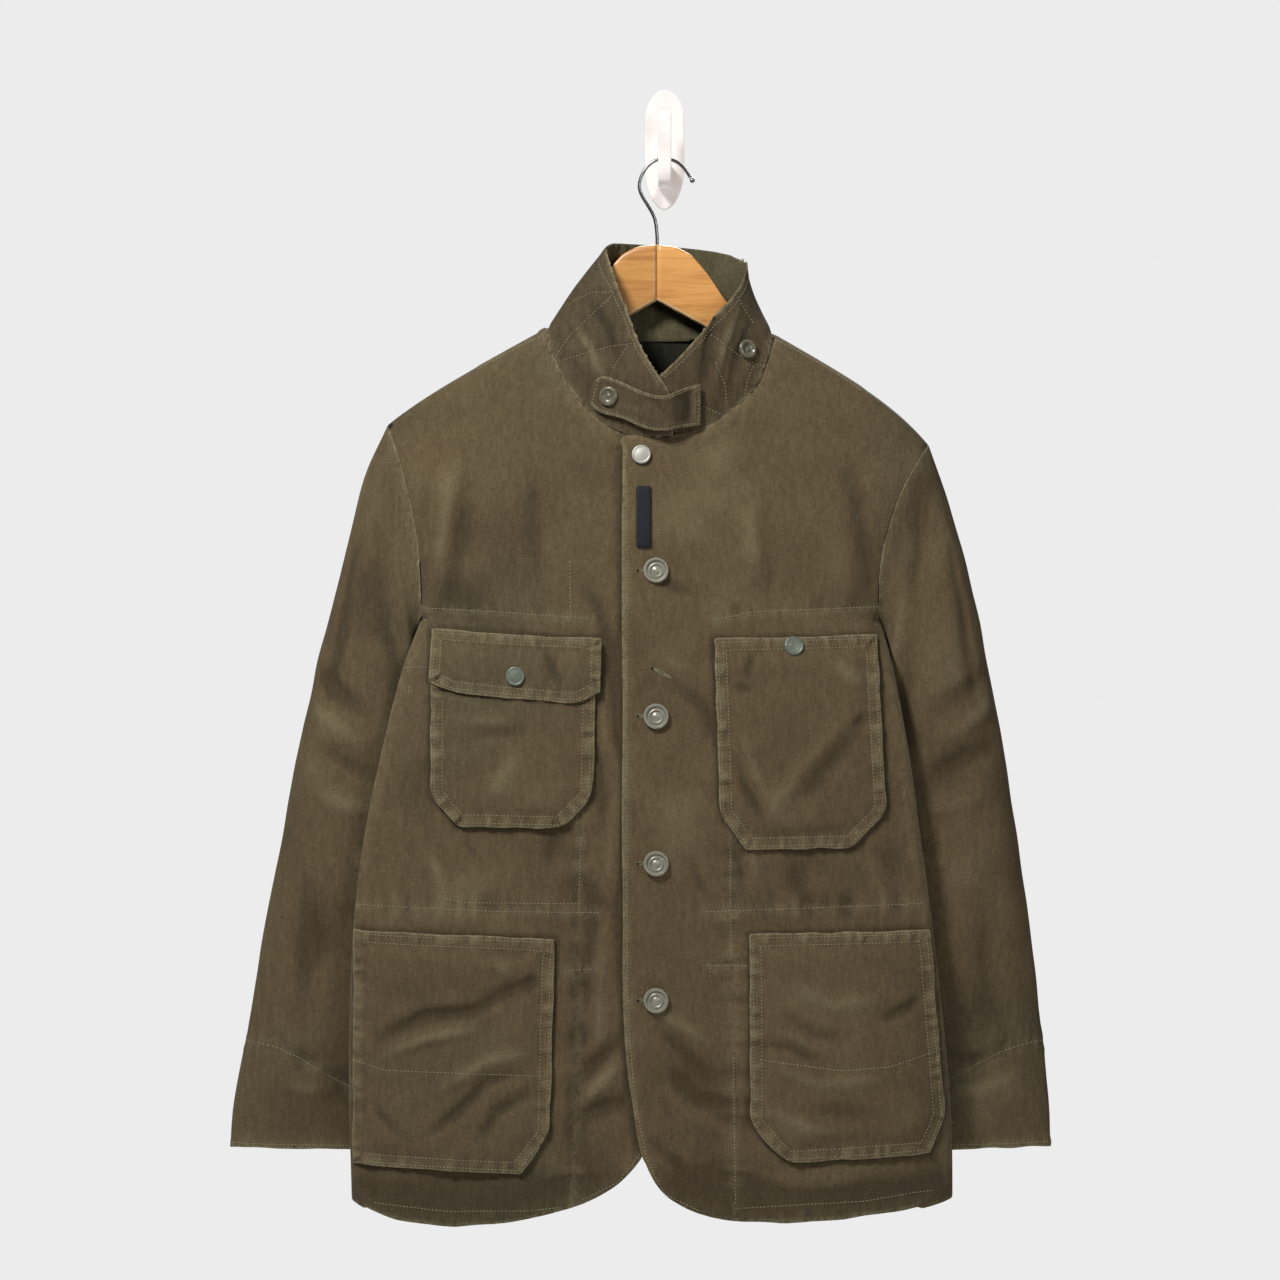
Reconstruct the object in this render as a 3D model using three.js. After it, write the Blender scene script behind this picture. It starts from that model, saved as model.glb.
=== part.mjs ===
// A logger jacket of heavy olive cotton on a wooden hanger, whose wire hook hangs on a plastic wall hook.
// Millimetres, +Z up. The wall is the plane y = 0 and the jacket's front faces -Y. The origin is the middle
// of the wall hook's flat back. Pieces are named from the wearer's side, so right_front is the front at -X.
// In the tables "left" is the side at -X and "right" the side at +X, as seen from in front.
import * as THREE from "three";

// Cloth and its seams
const CLOTH = 2.0; // body and sleeves: shell cloth with its facing
const COLLAR_CLOTH = 2.6;
const STRAP_CLOTH = 2.2;
const POCKET_CLOTH = 1.6;
const LABEL_CLOTH = 0.8;
const SEAM_GAP = 0.25; // each side of a seam stands back by this
const SEAM_BEVEL = 0.9; // the inner side of a wall stands back this much further
const ARMHOLE_BEVEL = 2.2; // the same at the armhole end of a sleeve
const SIDE_BEVEL = 2.8; // the same at the side folds and armhole edges of the panels
const EDGE_REACH = 0.55; // an edge that stands back draws the grid in over this share of the surface
const ON_PANEL = 0.8; // clearance under a piece that lies on a panel
const SEATED = 0.45; // clearance under a hard piece on cloth
const LAP = { out: 3, wide: 64, fade: 60 }; // how far and how wide the over front stands out at its edge

// Grid of the panels, in rows up the side, up the lower armhole, and up the neckline
const ROWS = { side: 14, low: 4, neck: 7 };
const ARMHOLE_ROWS = ROWS.low + ROWS.neck;
const PANEL_ROWS = ROWS.side + ARMHOLE_ROWS;
const EDGE_ROWS = ROWS.side + ROWS.low;
const NEAR_SHOULDER = [0.55, 0.85]; // two more rows in the last step below the shoulder line
const PANEL_COLUMNS = 10;
const FOLD_COLUMN = 0.055; // one more column stands this share of the grid in from the side fold
const SLEEVE_ROWS = 18;

const HANG_SHIFT = -7; // the hanger's stem stands this far to the left of the wall hook's middle
const SHOULDER_APEX = -121; // where the two shoulder lines would meet
const SHOULDER = {
  left: { slope: 0.557, drop: 8.6, reach: 243 },
  right: { slope: 0.577, drop: 20.6, reach: 245 },
};
const NECK = { left: 100, right: 106, back: -187 };
const HANGER_LINE = { centre: -24, end: -46, reach: 220 }; // y of the hanger's middle along its arms
const ROOF = { half: 13.5, deep: 15, front: 75, back: 45 }; // round of the cloth over the hanger

// Body sections by height: half widths, and the y of the front, the side fold, the back, and the ledge
// behind the side fold that the sleeve hangs behind, with the ledge's width.
const BODY_COLUMNS = ["z", "left", "right", "front", "side", "back", "ledge", "tuck"];
const BODY = [
  [-120, 262, 266, -66, -50, -11, -22, 0],
  [-260, 258, 264, -80, -56, -11, -22, 0],
  [-360, 237, 224, -95, -64, -10, -21, 0],
  [-410, 224, 208, -99, -63, -10, -38, 0],
  [-440, 212, 200, -102, -58, -10, -50, 0],
  [-457, 218, 205, -103, -70, -10, -62, 4],
  [-475, 225, 210, -105, -81, -10, -73, 12],
  [-515, 236, 217, -108, -90, -10, -81, 34],
  [-560, 246, 225, -109, -93, -10, -83, 50],
  [-640, 263, 236, -109, -94, -11, -84, 64],
  [-720, 272, 247, -107, -91, -12, -81, 70],
  [-790, 275, 255, -104, -85, -14, -75, 68],
  [-860, 276, 262, -101, -77, -16, -66, 64],
  [-920, 275, 265, -97, -70, -19, -58, 58],
  [-1000, 273, 265, -92, -63, -23, -49, 44],
].map(toRow(BODY_COLUMNS));
const FRONT_ROUND = 2.6; // exponent of the front's arch
const FOLD_ROUND = 12; // rounding behind the side fold
const FOLD_STEP = 0.8; // the back's edge stands this far behind the front's at the side fold
const LEDGE_RAMP = 78; // width over which the back drops from the ledge to the wall side
const ARMHOLE_PULL = { low: 0.14, high: 0.4, rise: 110 }; // share over which a panel bends to the armhole

// Sleeve rings from armhole to cuff: the outer and inner edge as distance from the middle and z, the
// ring's middle y and half depth, how far its inner end leans forward, and how far it bows inwards.
const SLEEVE_COLUMNS = ["ox", "oz", "ix", "iz", "y", "deep", "lean", "bow"];
const SLEEVE = {
  left: [
    [243, -265, 212, -440, -46, 27, 12, 10],
    [262, -308, 216, -463, -42, 24, 5, 5],
    [274, -352, 209, -494, -42, 28, 0, 2],
    [291, -417, 205, -538, -43, 32, 0, 0],
    [311, -497, 203, -584, -43, 34, 0, 0],
    [329, -582, 205, -642, -43, 34, 0, 0],
    [346, -671, 210, -713, -41, 32, 0, 0],
    [361, -760, 218, -785, -38, 28, 0, 0],
    [375, -838, 229, -853, -35, 23, 0, 0],
    [384, -882, 237, -888, -33, 19, 0, 0],
    [386, -918, 242, -920, -31, 16, 0, 0],
  ].map(toRow(SLEEVE_COLUMNS)),
  right: [
    [245, -283, 200, -440, -46, 27, 12, 16],
    [262, -327, 204, -463, -42, 24, 5, 7],
    [273, -369, 198, -494, -42, 28, 0, 3],
    [289, -431, 192, -540, -43, 32, 0, 0],
    [304, -506, 188, -591, -43, 34, 0, 0],
    [319, -590, 188, -649, -43, 34, 0, 0],
    [332, -675, 190, -718, -41, 32, 0, 0],
    [343, -760, 196, -788, -38, 28, 0, 0],
    [352, -838, 205, -855, -35, 23, 0, 0],
    [356, -882, 210, -888, -33, 19, 0, 0],
    [356, -917, 213, -920, -31, 16, 0, 0],
  ].map(toRow(SLEEVE_COLUMNS)),
};

// Front edges from the hem corner up, and necklines from the edge to the neck point, as x and z
const EDGE = {
  left: [
    [-32, -947],
    [-8, -915],
    [14, -865],
    [27, -790],
    [28, -650],
    [28, -460],
    [28, -277],
  ],
  right: [
    [3, -957],
    [-13, -926],
    [-22, -880],
    [-30, -800],
    [-31.5, -650],
    [-31.5, -460],
    [-31.5, -277],
  ],
};
const NECKLINE = {
  left: [
    [28, -277],
    [-30, -276],
    [-59, -257],
    [-83, -229],
    [-97, -200],
    [-NECK.left, shoulderZ(-NECK.left)],
  ],
  right: [
    [-31.5, -277],
    [20, -277],
    [40, -272],
    [69, -252],
    [93, -227],
    [NECK.right, shoulderZ(NECK.right)],
  ],
};
// How far each front's hem hangs below the line between its two lower corners, by share of its width
const HEM = [
  [0, 0, 0],
  [0.08, 10, 12],
  [0.2, 19, 21],
  [0.4, 27, 22],
  [0.6, 28, 19],
  [0.8, 21, 13],
  [0.93, 11, 7],
  [1, 0, 0],
].map(toRow(["share", "left", "right"]));
const HEM_SIDE = { left: -962, right: -960 };
const BACK_HEM = -921; // at its middle, where the back is cut shorter than the fronts

// The largest soft folds: middle x and z, degrees from vertical, half length, half width and rise
const FOLD_COLUMNS = ["x", "z", "turn", "long", "wide", "rise"];
const FRONT_FOLDS = [
  [-196, -345, -8, 95, 17, 4],
  [-168, -330, 6, 90, 16, -4],
  [-206, -520, 26, 75, 20, -3.5],
  [184, -345, 10, 90, 17, 4],
  [158, -330, -6, 85, 16, -4],
  [150, -420, -4, 130, 22, -2.5],
  [-60, -860, 10, 90, 24, -4],
  [-110, -670, 60, 60, 18, -3],
  [52, -880, -6, 90, 28, -3],
  [-205, -945, 70, 70, 24, 3],
  [60, -690, -50, 60, 18, -3],
].map(toRow(FOLD_COLUMNS));
const BACK_FOLDS = [
  [-120, -470, 12, 150, 24, 4],
  [115, -480, -12, 150, 24, 4],
  [-30, -620, 4, 190, 28, -5],
  [60, -700, -5, 180, 28, 4],
  [-90, -830, 6, 120, 26, -4],
].map(toRow(FOLD_COLUMNS));
// Sleeve folds: share down the sleeve, degrees round it (0 the outer edge, 90 the front), and so on
const SLEEVE_FOLDS = [
  [0.1, 62, 25, 0.13, 20, -6],
  [0.13, 118, -10, 0.12, 22, 5],
  [0.5, 85, 40, 0.1, 22, -4],
  [0.66, 105, 60, 0.08, 20, 4],
  [0.84, 80, 50, 0.06, 22, -3.5],
  [0.45, 270, 30, 0.16, 24, -5],
  [0.7, 260, 50, 0.1, 22, 4],
].map(toRow(["down", "round", "slant", "long", "wide", "rise"]));

// Collar: where the leaves end on their necklines, which share of the band is leaf and back, how far the
// left leaf's end stands ahead and the right leaf's end behind. Its top edge by share of the band, and how
// far the band rounds outwards below it.
const COLLAR = {
  start: { left: 0.075, right: 0.26 },
  leaf: 0.36,
  back: 0.6,
  ahead: 6,
  behind: 4.4,
  fade: 0.1,
  inset: 0.4,
  lift: 0.8,
};
const COLLAR_TOP = [
  [0, 11, -92, -237, 4],
  [0.09, -3, -88, -216, 4],
  [0.17, -17, -78, -191, 4],
  [0.25, -27, -66, -162, 4],
  [0.32, -39, -50, -127, 4],
  [0.37, -45, -31, -102, 4],
  [0.43, -26, -16.5, -99, 5],
  [0.49, 20, -13, -102, 4],
  [0.55, 62, -17, -108, 0],
  [0.6, 82, -31, -119, -4],
  [0.66, 75, -48, -139, -2],
  [0.74, 60, -61, -159, 3],
  [0.82, 42, -70, -180, 4],
  [0.92, 21, -76, -204, 4],
  [1, 0, -77, -224, 4],
].map(toRow(["share", "x", "y", "z", "round"]));

// Throat strap by share of its length: middle line, half width, and the y of its lower and upper edge
const STRAP = [
  [0, -61, -240, 5, -72.4, -72.4],
  [0.06, -56, -239, 13, -74, -73.8],
  [0.14, -49, -239, 17, -76.6, -76.6],
  [0.3, -30, -245, 16, -82.2, -84.2],
  [0.48, -11, -254, 16, -86.8, -91.2],
  [0.66, 6, -257, 15.5, -90, -96],
  [0.74, 14, -255, 16, -91.4, -97.6],
  [0.86, 26, -251, 17.5, -84, -86],
  [1, 39, -248, 18.5, -80, -81],
].map(toRow(["share", "x", "z", "half", "low", "high"]));

// Patch pockets and flap: x of the sides and z of the ends as lower and upper, or left and right, values,
// the width cut off each lower corner, and how many pieces lie below
const PATCH_COLUMNS = ["sideA", "topA", "sideB", "topB", "lowA", "lowB", "highA", "highB", "cutA", "cutB"];
const RIGHT_CHEST_POCKET = [-202, -201, -58, -54, -625, -627, -457, -461, 23, 27];
const RIGHT_CHEST_FLAP = [-203.5, -200.5, -50, -49.5, -506, -516, -451, -458, 21, 22];
const LEFT_CHEST_POCKET = [57, 50.5, 206, 196, -646, -644, -458, -455, 22, 32];
const RIGHT_LOWER_POCKET = [-272, -270, -97, -91, -928, -936, -717, -725, 0, 25];
const LEFT_LOWER_POCKET = [83.5, 82, 260, 243, -926, -918, -721, -717, 31, 16];
const PATCH_GRID = { columns: 10, rows: 12, cornerShare: 1 / 6 };

const LABEL = { x: -12, z: -349, wide: 13, long: 55 };
const BUTTON = { radius: 11.5, height: 3.4, x: -1, z: [-397, -527, -658, -780] };
const SMALL_BUTTON = { radius: 8.9, height: 2.8 };
const STRAP_BUTTON = { u: 0.19, v: 0.5 };
const STOWING_BUTTON = { u: 0.735, v: 0.42 };
const SNAP = { radius: 8.8, height: 3 };
const NECK_SNAP = { x: -14, z: -293 };
const FLAP_SNAP = { x: -126, z: -492 };
const POCKET_SNAP = { x: 121.5, z: -465 };
const TURNED_SIDES = 16;

// Hanger arms by distance from the middle: rise of the top above the shoulder line, height, half depth
const HANGER = [
  [0.2, 24, 51, 7],
  [16, 32, 53, 7],
  [31, 34, 55, 7],
  [47, 24, 50, 7],
  [62, 9, 42, 7],
  [80, 1, 33, 7.5],
  [105, 0, 26, 8],
  [150, 0, 24, 8],
  [190, -0.3, 21, 7.2],
  [208, -0.8, 16, 6],
  [214, -3, 9, 4],
].map(toRow(["x", "rise", "tall", "half"]));
const HANGER_CLEAR = 3.6; // the hanger's top below the shoulder line: the cloth and a little air
const HANGER_SIDES = 12;
const HANGER_SQUARE = 0.75; // 1 for an oval section, less for a squarer one
const WIRE = { radius: 1.7, sides: 8, steps: 34, tip: 2.6, ends: 0.3 };
const WIRE_LINE = [
  [0.3, -100.3],
  [0, -90],
  [-2.2, -76],
  [-8, -65],
  [-13.5, -56],
  [-16, -48.5],
  [-15, -41],
  [-11, -32.5],
  [-5, -26],
  [1, -23.2],
  [7, -22.8],
  [13, -23.2],
  [20, -26.5],
  [25.5, -32],
  [30.5, -39.5],
];

// Wall hook: a drop-shaped plate flat on the wall, and the upturned arm that carries the wire
const PLATE = { half: 16.8, top: 41, shoulder: 16, waist: -30, tip: -66, thick: 5, bevel: 1.2 };
const ARM = { wide: 12, saddle: -25.4, floor: -47, front: -37, tongue: 5, tip: 16, bevel: 1.4 };

function toRow(columns) {
  return (values) => Object.fromEntries(columns.map((name, i) => [name, values[i]]));
}
function clamp01(t) {
  return Math.min(1, Math.max(0, t));
}
function mix(a, b, t) {
  return a + (b - a) * t;
}
function smooth(t) {
  return clamp01(t) ** 2 * (3 - 2 * clamp01(t));
}
function sideOf(x) {
  return x < 0 ? "left" : "right";
}
function signOf(side) {
  return side === "left" ? -1 : 1;
}
function steps(count) {
  return Array.from({ length: count + 1 }, (_, i) => i / count);
}
const panelRows = steps(PANEL_ROWS)
  .concat(NEAR_SHOULDER.map((part) => 1 - (1 - part) / PANEL_ROWS))
  .sort((a, b) => a - b);
const armholeRows = panelRows.filter((v) => v * PANEL_ROWS > ROWS.side - 0.5)
  .map((v) => (v * PANEL_ROWS - ROWS.side) / ARMHOLE_ROWS);

// Smooth reading of one column of a table at a key, with slopes taken from the neighbouring rows.
function read(rows, key, at, column) {
  const up = Math.sign(rows[rows.length - 1][key] - rows[0][key]);
  const beyond = rows.findIndex((row) => (row[key] - at) * up > 0);
  const i = beyond < 0 ? rows.length - 2 : Math.max(0, beyond - 1);
  const slope = (k) => {
    const a = rows[Math.max(0, k - 1)];
    const b = rows[Math.min(rows.length - 1, k + 1)];
    return (b[column] - a[column]) / (b[key] - a[key]);
  };
  const [a, b] = [rows[i], rows[i + 1]];
  const span = b[key] - a[key];
  const t = clamp01((at - a[key]) / span);
  const bend = (t ** 3 - 2 * t ** 2 + t) * slope(i) + (t ** 3 - t ** 2) * slope(i + 1);
  return mix(a[column], b[column], 3 * t ** 2 - 2 * t ** 3) + bend * span;
}
function body(z, column) {
  return read(BODY, "z", z, column);
}
function halfWidth(x, z) {
  return body(z, sideOf(x));
}
function shoulderZ(x) {
  const { slope, drop, reach } = SHOULDER[sideOf(x)];
  return SHOULDER_APEX - slope * Math.abs(x) - drop * (Math.abs(x) / reach) ** 8;
}
function hangerY(x) {
  const share = Math.min(1.1, Math.abs(x) / HANGER_LINE.reach);
  return mix(HANGER_LINE.centre, HANGER_LINE.end, share ** 1.6);
}
function foldRise(folds, x, z) {
  return folds.reduce((sum, fold) => {
    const turn = THREE.MathUtils.degToRad(fold.turn);
    const [dx, dz] = [x - fold.x, z - fold.z];
    const along = (dz * Math.cos(turn) + dx * Math.sin(turn)) / fold.long;
    const across = (dx * Math.cos(turn) - dz * Math.sin(turn)) / fold.wide;
    return sum + fold.rise * Math.exp(-1.4 * along ** 2 - across ** 2);
  }, 0);
}

// The armhole seams as tables by height, and how far cloth near a seam leaves its plain surface to meet it.
const ARMHOLE = ["left", "right"].map((side) => {
  const seam = (front) => steps(30).map((up) => armholePoint(side, up, front));
  return { front: seam(true), back: seam(false) };
});
function towardsSeam(x, z, face, plain) {
  const seam = ARMHOLE[x < 0 ? 0 : 1][face];
  if (z <= seam[0].z) return 0;
  const reach = read(seam, "z", z, "x");
  const step = read(seam, "z", z, "y") - plain(reach, z);
  const range = mix(ARMHOLE_PULL.low, ARMHOLE_PULL.high, smooth((z - seam[0].z) / ARMHOLE_PULL.rise));
  return step * smooth((x / reach - 1 + range) / range);
}

// The y of cloth that rounds over the hanger at the shoulder line and hangs at "hung" well below it.
function overHanger(x, z, hung, drape) {
  const drop = Math.max(0, shoulderZ(x) - z);
  const reach = hung - hangerY(x);
  const roof = Math.sign(reach) * Math.min(ROOF.half, 0.9 * Math.abs(reach));
  const round = Math.sqrt(1 - (1 - clamp01(drop / ROOF.deep)) ** 2);
  return hangerY(x) + roof * round + (reach - roof) * (1 - Math.exp(-drop / drape));
}
function plainFront(x, z) {
  const arch = Math.sqrt(1 - clamp01(Math.abs(x) / halfWidth(x, z)) ** FRONT_ROUND);
  const hung = mix(body(z, "side"), body(z, "front"), arch) - foldRise(FRONT_FOLDS, x, z) * arch;
  return overHanger(x, z, hung, ROOF.front);
}
function frontPoint(x, z) {
  return new THREE.Vector3(x, plainFront(x, z) + towardsSeam(x, z, "front", plainFront), z);
}
// The same for the front that laps over, which stands out towards its edge.
function overPoint(x, z) {
  const p = frontPoint(x, z);
  const beyond = x - NECKLINE.right[0][0] - LAP.wide;
  p.y -= LAP.out * (1 - smooth(beyond / LAP.fade));
  return p;
}
function plainBack(x, z) {
  const inward = Math.max(0, halfWidth(x, z) - Math.abs(x));
  const round = Math.sqrt(1 - (1 - clamp01(inward / FOLD_ROUND)) ** 2);
  const underarm = SLEEVE[sideOf(x)][0].iz;
  const step = FOLD_STEP * smooth((underarm - z) / ROOF.deep);
  const edge = z < underarm ? mix(body(z, "side") + step, body(z, "ledge"), round) : body(z, "ledge");
  const ramp = smooth((inward - body(z, "tuck")) / LEDGE_RAMP);
  const hung = mix(edge, body(z, "back"), ramp) - foldRise(BACK_FOLDS, x, z) * ramp;
  return overHanger(x, z, hung, ROOF.back);
}
function backPoint(x, z) {
  return new THREE.Vector3(x, plainBack(x, z) + towardsSeam(x, z, "back", plainBack), z);
}
function backNeckZ(x) {
  const share = clamp01(Math.abs(x) / NECK[sideOf(x)]);
  return mix(NECK.back, shoulderZ(signOf(sideOf(x)) * NECK[sideOf(x)]), share ** 3);
}
function backTopZ(x) {
  return Math.abs(x) < NECK[sideOf(x)] ? backNeckZ(x) : shoulderZ(x);
}

// One ring of a sleeve, and its point at an angle: 0 is the outer edge, a quarter turn the front.
function sleeveRing(side, down) {
  const rows = SLEEVE[side].map((row, i) => ({ ...row, down: i / (SLEEVE[side].length - 1) }));
  return Object.fromEntries(SLEEVE_COLUMNS.map((name) => [name, read(rows, "down", down, name)]));
}
function ringPoint(side, ring, angle, swell = 0) {
  const t = (1 - Math.cos(angle)) / 2;
  const out = new THREE.Vector2(ring.ox - ring.ix, ring.oz - ring.iz).normalize();
  const bow = ring.bow * Math.sin(angle) ** 2;
  const x = mix(ring.ox, ring.ix, t) - bow * out.y + swell * Math.cos(angle) * out.x;
  const z = mix(ring.oz, ring.iz, t) + bow * out.x + swell * Math.cos(angle) * out.y;
  const y = ring.y - ring.lean * t ** 3 - (ring.deep + swell) * Math.sin(angle);
  return new THREE.Vector3(signOf(side) * x, y, z);
}
function armholePoint(side, up, front) {
  return ringPoint(side, sleeveRing(side, 0), Math.PI * (1 - up) * (front ? 1 : -1));
}

// The outer boundary of a panel at height share v: the side fold, then the armhole seam, as a share of the
// half width and z.
function outerBoundary(side, v, front) {
  const row = v * PANEL_ROWS;
  if (row <= ROWS.side) {
    return { share: signOf(side), z: mix(HEM_SIDE[side], SLEEVE[side][0].iz, row / ROWS.side) };
  }
  const seam = armholePoint(side, (row - ROWS.side) / ARMHOLE_ROWS, front);
  return { share: seam.x / halfWidth(seam.x, seam.z), z: seam.z };
}
function curveThrough(points) {
  return new THREE.SplineCurve(points.map(([x, z]) => new THREE.Vector2(x, z)));
}
function frontBoundary(side, v) {
  const row = v * PANEL_ROWS;
  const onEdge = row <= EDGE_ROWS;
  const curve = curveThrough(onEdge ? EDGE[side] : NECKLINE[side]);
  const { x, y: z } = curve.getPointAt(clamp01(onEdge ? row / EDGE_ROWS : (row - EDGE_ROWS) / ROWS.neck));
  return { share: x / halfWidth(x, z), z };
}
// The height where a panel's top edge crosses a share of the half width.
function topAt(share, guess, topZ) {
  let z = guess;
  for (let i = 0; i < 6; i++) z = topZ(share * halfWidth(share, z));
  return z;
}
function frontPanel(side, surface) {
  const neck = frontBoundary(side, 1);
  const tip = outerBoundary(side, 1, true);
  return (u, v) => {
    const start = frontBoundary(side, v);
    const end = outerBoundary(side, v, true);
    const across = 1 - (1 - u) ** 1.5;
    const topZ = mix(neck.z, tip.z, across);
    const crown = topAt(mix(neck.share, tip.share, across), topZ, shoulderZ) - topZ;
    const dip = read(HEM, "share", across, side) * (1 - v) ** 5;
    const z = mix(start.z, end.z, across) + crown * smooth(v) ** 4 - dip;
    const share = mix(start.share, end.share, across);
    return surface(share * halfWidth(share, z), z);
  };
}
function backPanel(u, v) {
  const lean = 2 * u - 1;
  const across = 0.5 + (Math.sign(lean) * (1 - (1 - Math.abs(lean)) ** 1.4)) / 2;
  const ends = (height) => ["left", "right"].map((side) => outerBoundary(side, height, false));
  const [left, right] = ends(v);
  const [leftTip, rightTip] = ends(1);
  const topZ = mix(leftTip.z, rightTip.z, across);
  const crown = topAt(mix(leftTip.share, rightTip.share, across), topZ, backTopZ) - topZ;
  const lowZ = mix(left.z, right.z, across);
  const dip = (lowZ - BACK_HEM) * Math.sin(Math.PI * across) * (1 - v) ** 5;
  const z = lowZ + crown * smooth((v - 0.4) / 0.6) ** 2 - dip;
  const share = mix(left.share, right.share, across);
  return backPoint(share * halfWidth(share, z), z);
}
function sleeveSurface(side) {
  return (u, v) => {
    const swell = SLEEVE_FOLDS.reduce((sum, fold) => {
      const along = (v - fold.down) / fold.long;
      const turned = u * 360 - fold.round - along * fold.slant;
      const around = THREE.MathUtils.euclideanModulo(turned + 180, 360) - 180;
      return sum + fold.rise * Math.exp(-(along ** 2) - (around / fold.wide) ** 2);
    }, 0);
    return ringPoint(side, sleeveRing(side, v), u * 2 * Math.PI, swell * smooth(v / 0.08));
  };
}

// A front's neckline as its panel's own straight steps, from the front edge (0) to the neck point (1).
const NECK_SHARES = panelRows.filter((v) => v * PANEL_ROWS > EDGE_ROWS - 0.5)
  .map((v) => (v * PANEL_ROWS - EDGE_ROWS) / ROWS.neck);
function necklinePoint(side, t) {
  const flat = curveThrough(NECKLINE[side]).getPointAt(clamp01(t));
  return side === "left" ? frontPoint(flat.x, flat.y) : overPoint(flat.x, flat.y);
}
function alongNeckline(side, t) {
  const beyond = NECK_SHARES.findIndex((share) => share > t);
  const i = beyond < 0 ? NECK_SHARES.length - 1 : beyond;
  const [a, b] = [NECK_SHARES[i - 1], NECK_SHARES[i]];
  return necklinePoint(side, a).lerp(necklinePoint(side, b), (t - a) / (b - a));
}
// The collar's base follows both necklines and the back neck; the band rises from it to the top edge.
function collarBase(u) {
  const { start, leaf, back, ahead, behind, fade, inset, lift } = COLLAR;
  const x = mix(-NECK.left, NECK.right, (u - leaf) / (back - leaf));
  let p = backPoint(x, backNeckZ(x));
  if (u <= leaf) p = alongNeckline("left", mix(start.left, 1, u / leaf));
  if (u >= back) p = alongNeckline("right", mix(start.right, 1, (1 - u) / (1 - back)));
  const inward = new THREE.Vector3(-p.x, HANGER_LINE.end - p.y, 0).normalize().multiplyScalar(inset);
  p.add(inward);
  p.y += behind * (1 - smooth((1 - u) / fade)) - ahead * (1 - smooth(u / fade));
  p.z += lift;
  return p;
}
function collarSurface(u, v) {
  const base = collarBase(clamp01(u));
  const top = new THREE.Vector3(...["x", "y", "z"].map((name) => read(COLLAR_TOP, "share", u, name)));
  const outward = new THREE.Vector3(base.x, base.y - HANGER_LINE.end, 0).normalize();
  const round = read(COLLAR_TOP, "share", u, "round");
  return base.lerp(top, v).addScaledVector(outward, round * Math.sin(Math.PI * v));
}
function strapSurface(u, v) {
  const names = ["x", "z", "half", "low", "high"];
  const [x, z, half, low, high] = names.map((name) => read(STRAP, "share", u, name));
  return new THREE.Vector3(x, mix(low, high, v), z + half * (2 * v - 1));
}

// A place on a panel, moved out square to it.
function onPanel(surface, x, z, lift) {
  const step = 0.5;
  const across = surface(x + step, z).sub(surface(x - step, z));
  const up = surface(x, z + step).sub(surface(x, z - step));
  return surface(x, z).addScaledVector(across.cross(up).normalize(), lift);
}
// A patch between its four corners, whose columns crowd towards the side fold.
function patchSurface(surface, row, lift) {
  const bend = 0.7;
  const crowd = (x, z) => Math.sign(x) * (1 - (1 - clamp01(Math.abs(x) / halfWidth(x, z))) ** bend);
  const spread = (a, z) => Math.sign(a) * (1 - (1 - Math.abs(a)) ** (1 / bend)) * halfWidth(a, z);
  return (u, v) => {
    const corner = clamp01(1 - v / PATCH_GRID.cornerShare);
    const z = mix(mix(row.lowA, row.lowB, u), mix(row.highA, row.highB, u), v);
    const x0 = mix(row.sideA, row.topA, v) + row.cutA * corner;
    const x1 = mix(row.sideB, row.topB, v) - row.cutB * corner;
    return onPanel(surface, spread(mix(crowd(x0, z), crowd(x1, z), u), z), z, lift);
  };
}

function geometryFrom(points, faces) {
  const geometry = new THREE.BufferGeometry();
  const flat = points.flatMap((p) => p.toArray());
  geometry.setAttribute("position", new THREE.Float32BufferAttribute(flat, 3));
  geometry.setIndex(faces);
  geometry.computeVertexNormals();
  return geometry;
}

// The share of the way from one edge of a surface that lies a distance from that edge.
function setback(lineAt, distance) {
  const start = lineAt(0);
  let [low, high] = [0, 0.2];
  for (let i = 0; i < 14; i++) {
    const middle = (low + high) / 2;
    if (lineAt(middle).distanceTo(start) < distance) low = middle;
    else high = middle;
  }
  return low;
}
// A share of the way across, drawn in by low at one edge and by high at the other.
function drawnIn(share, low, high) {
  const near = (distance) => Math.max(0, 1 - distance / EDGE_REACH);
  return share + low * near(share) - high * near(1 - share);
}
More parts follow.
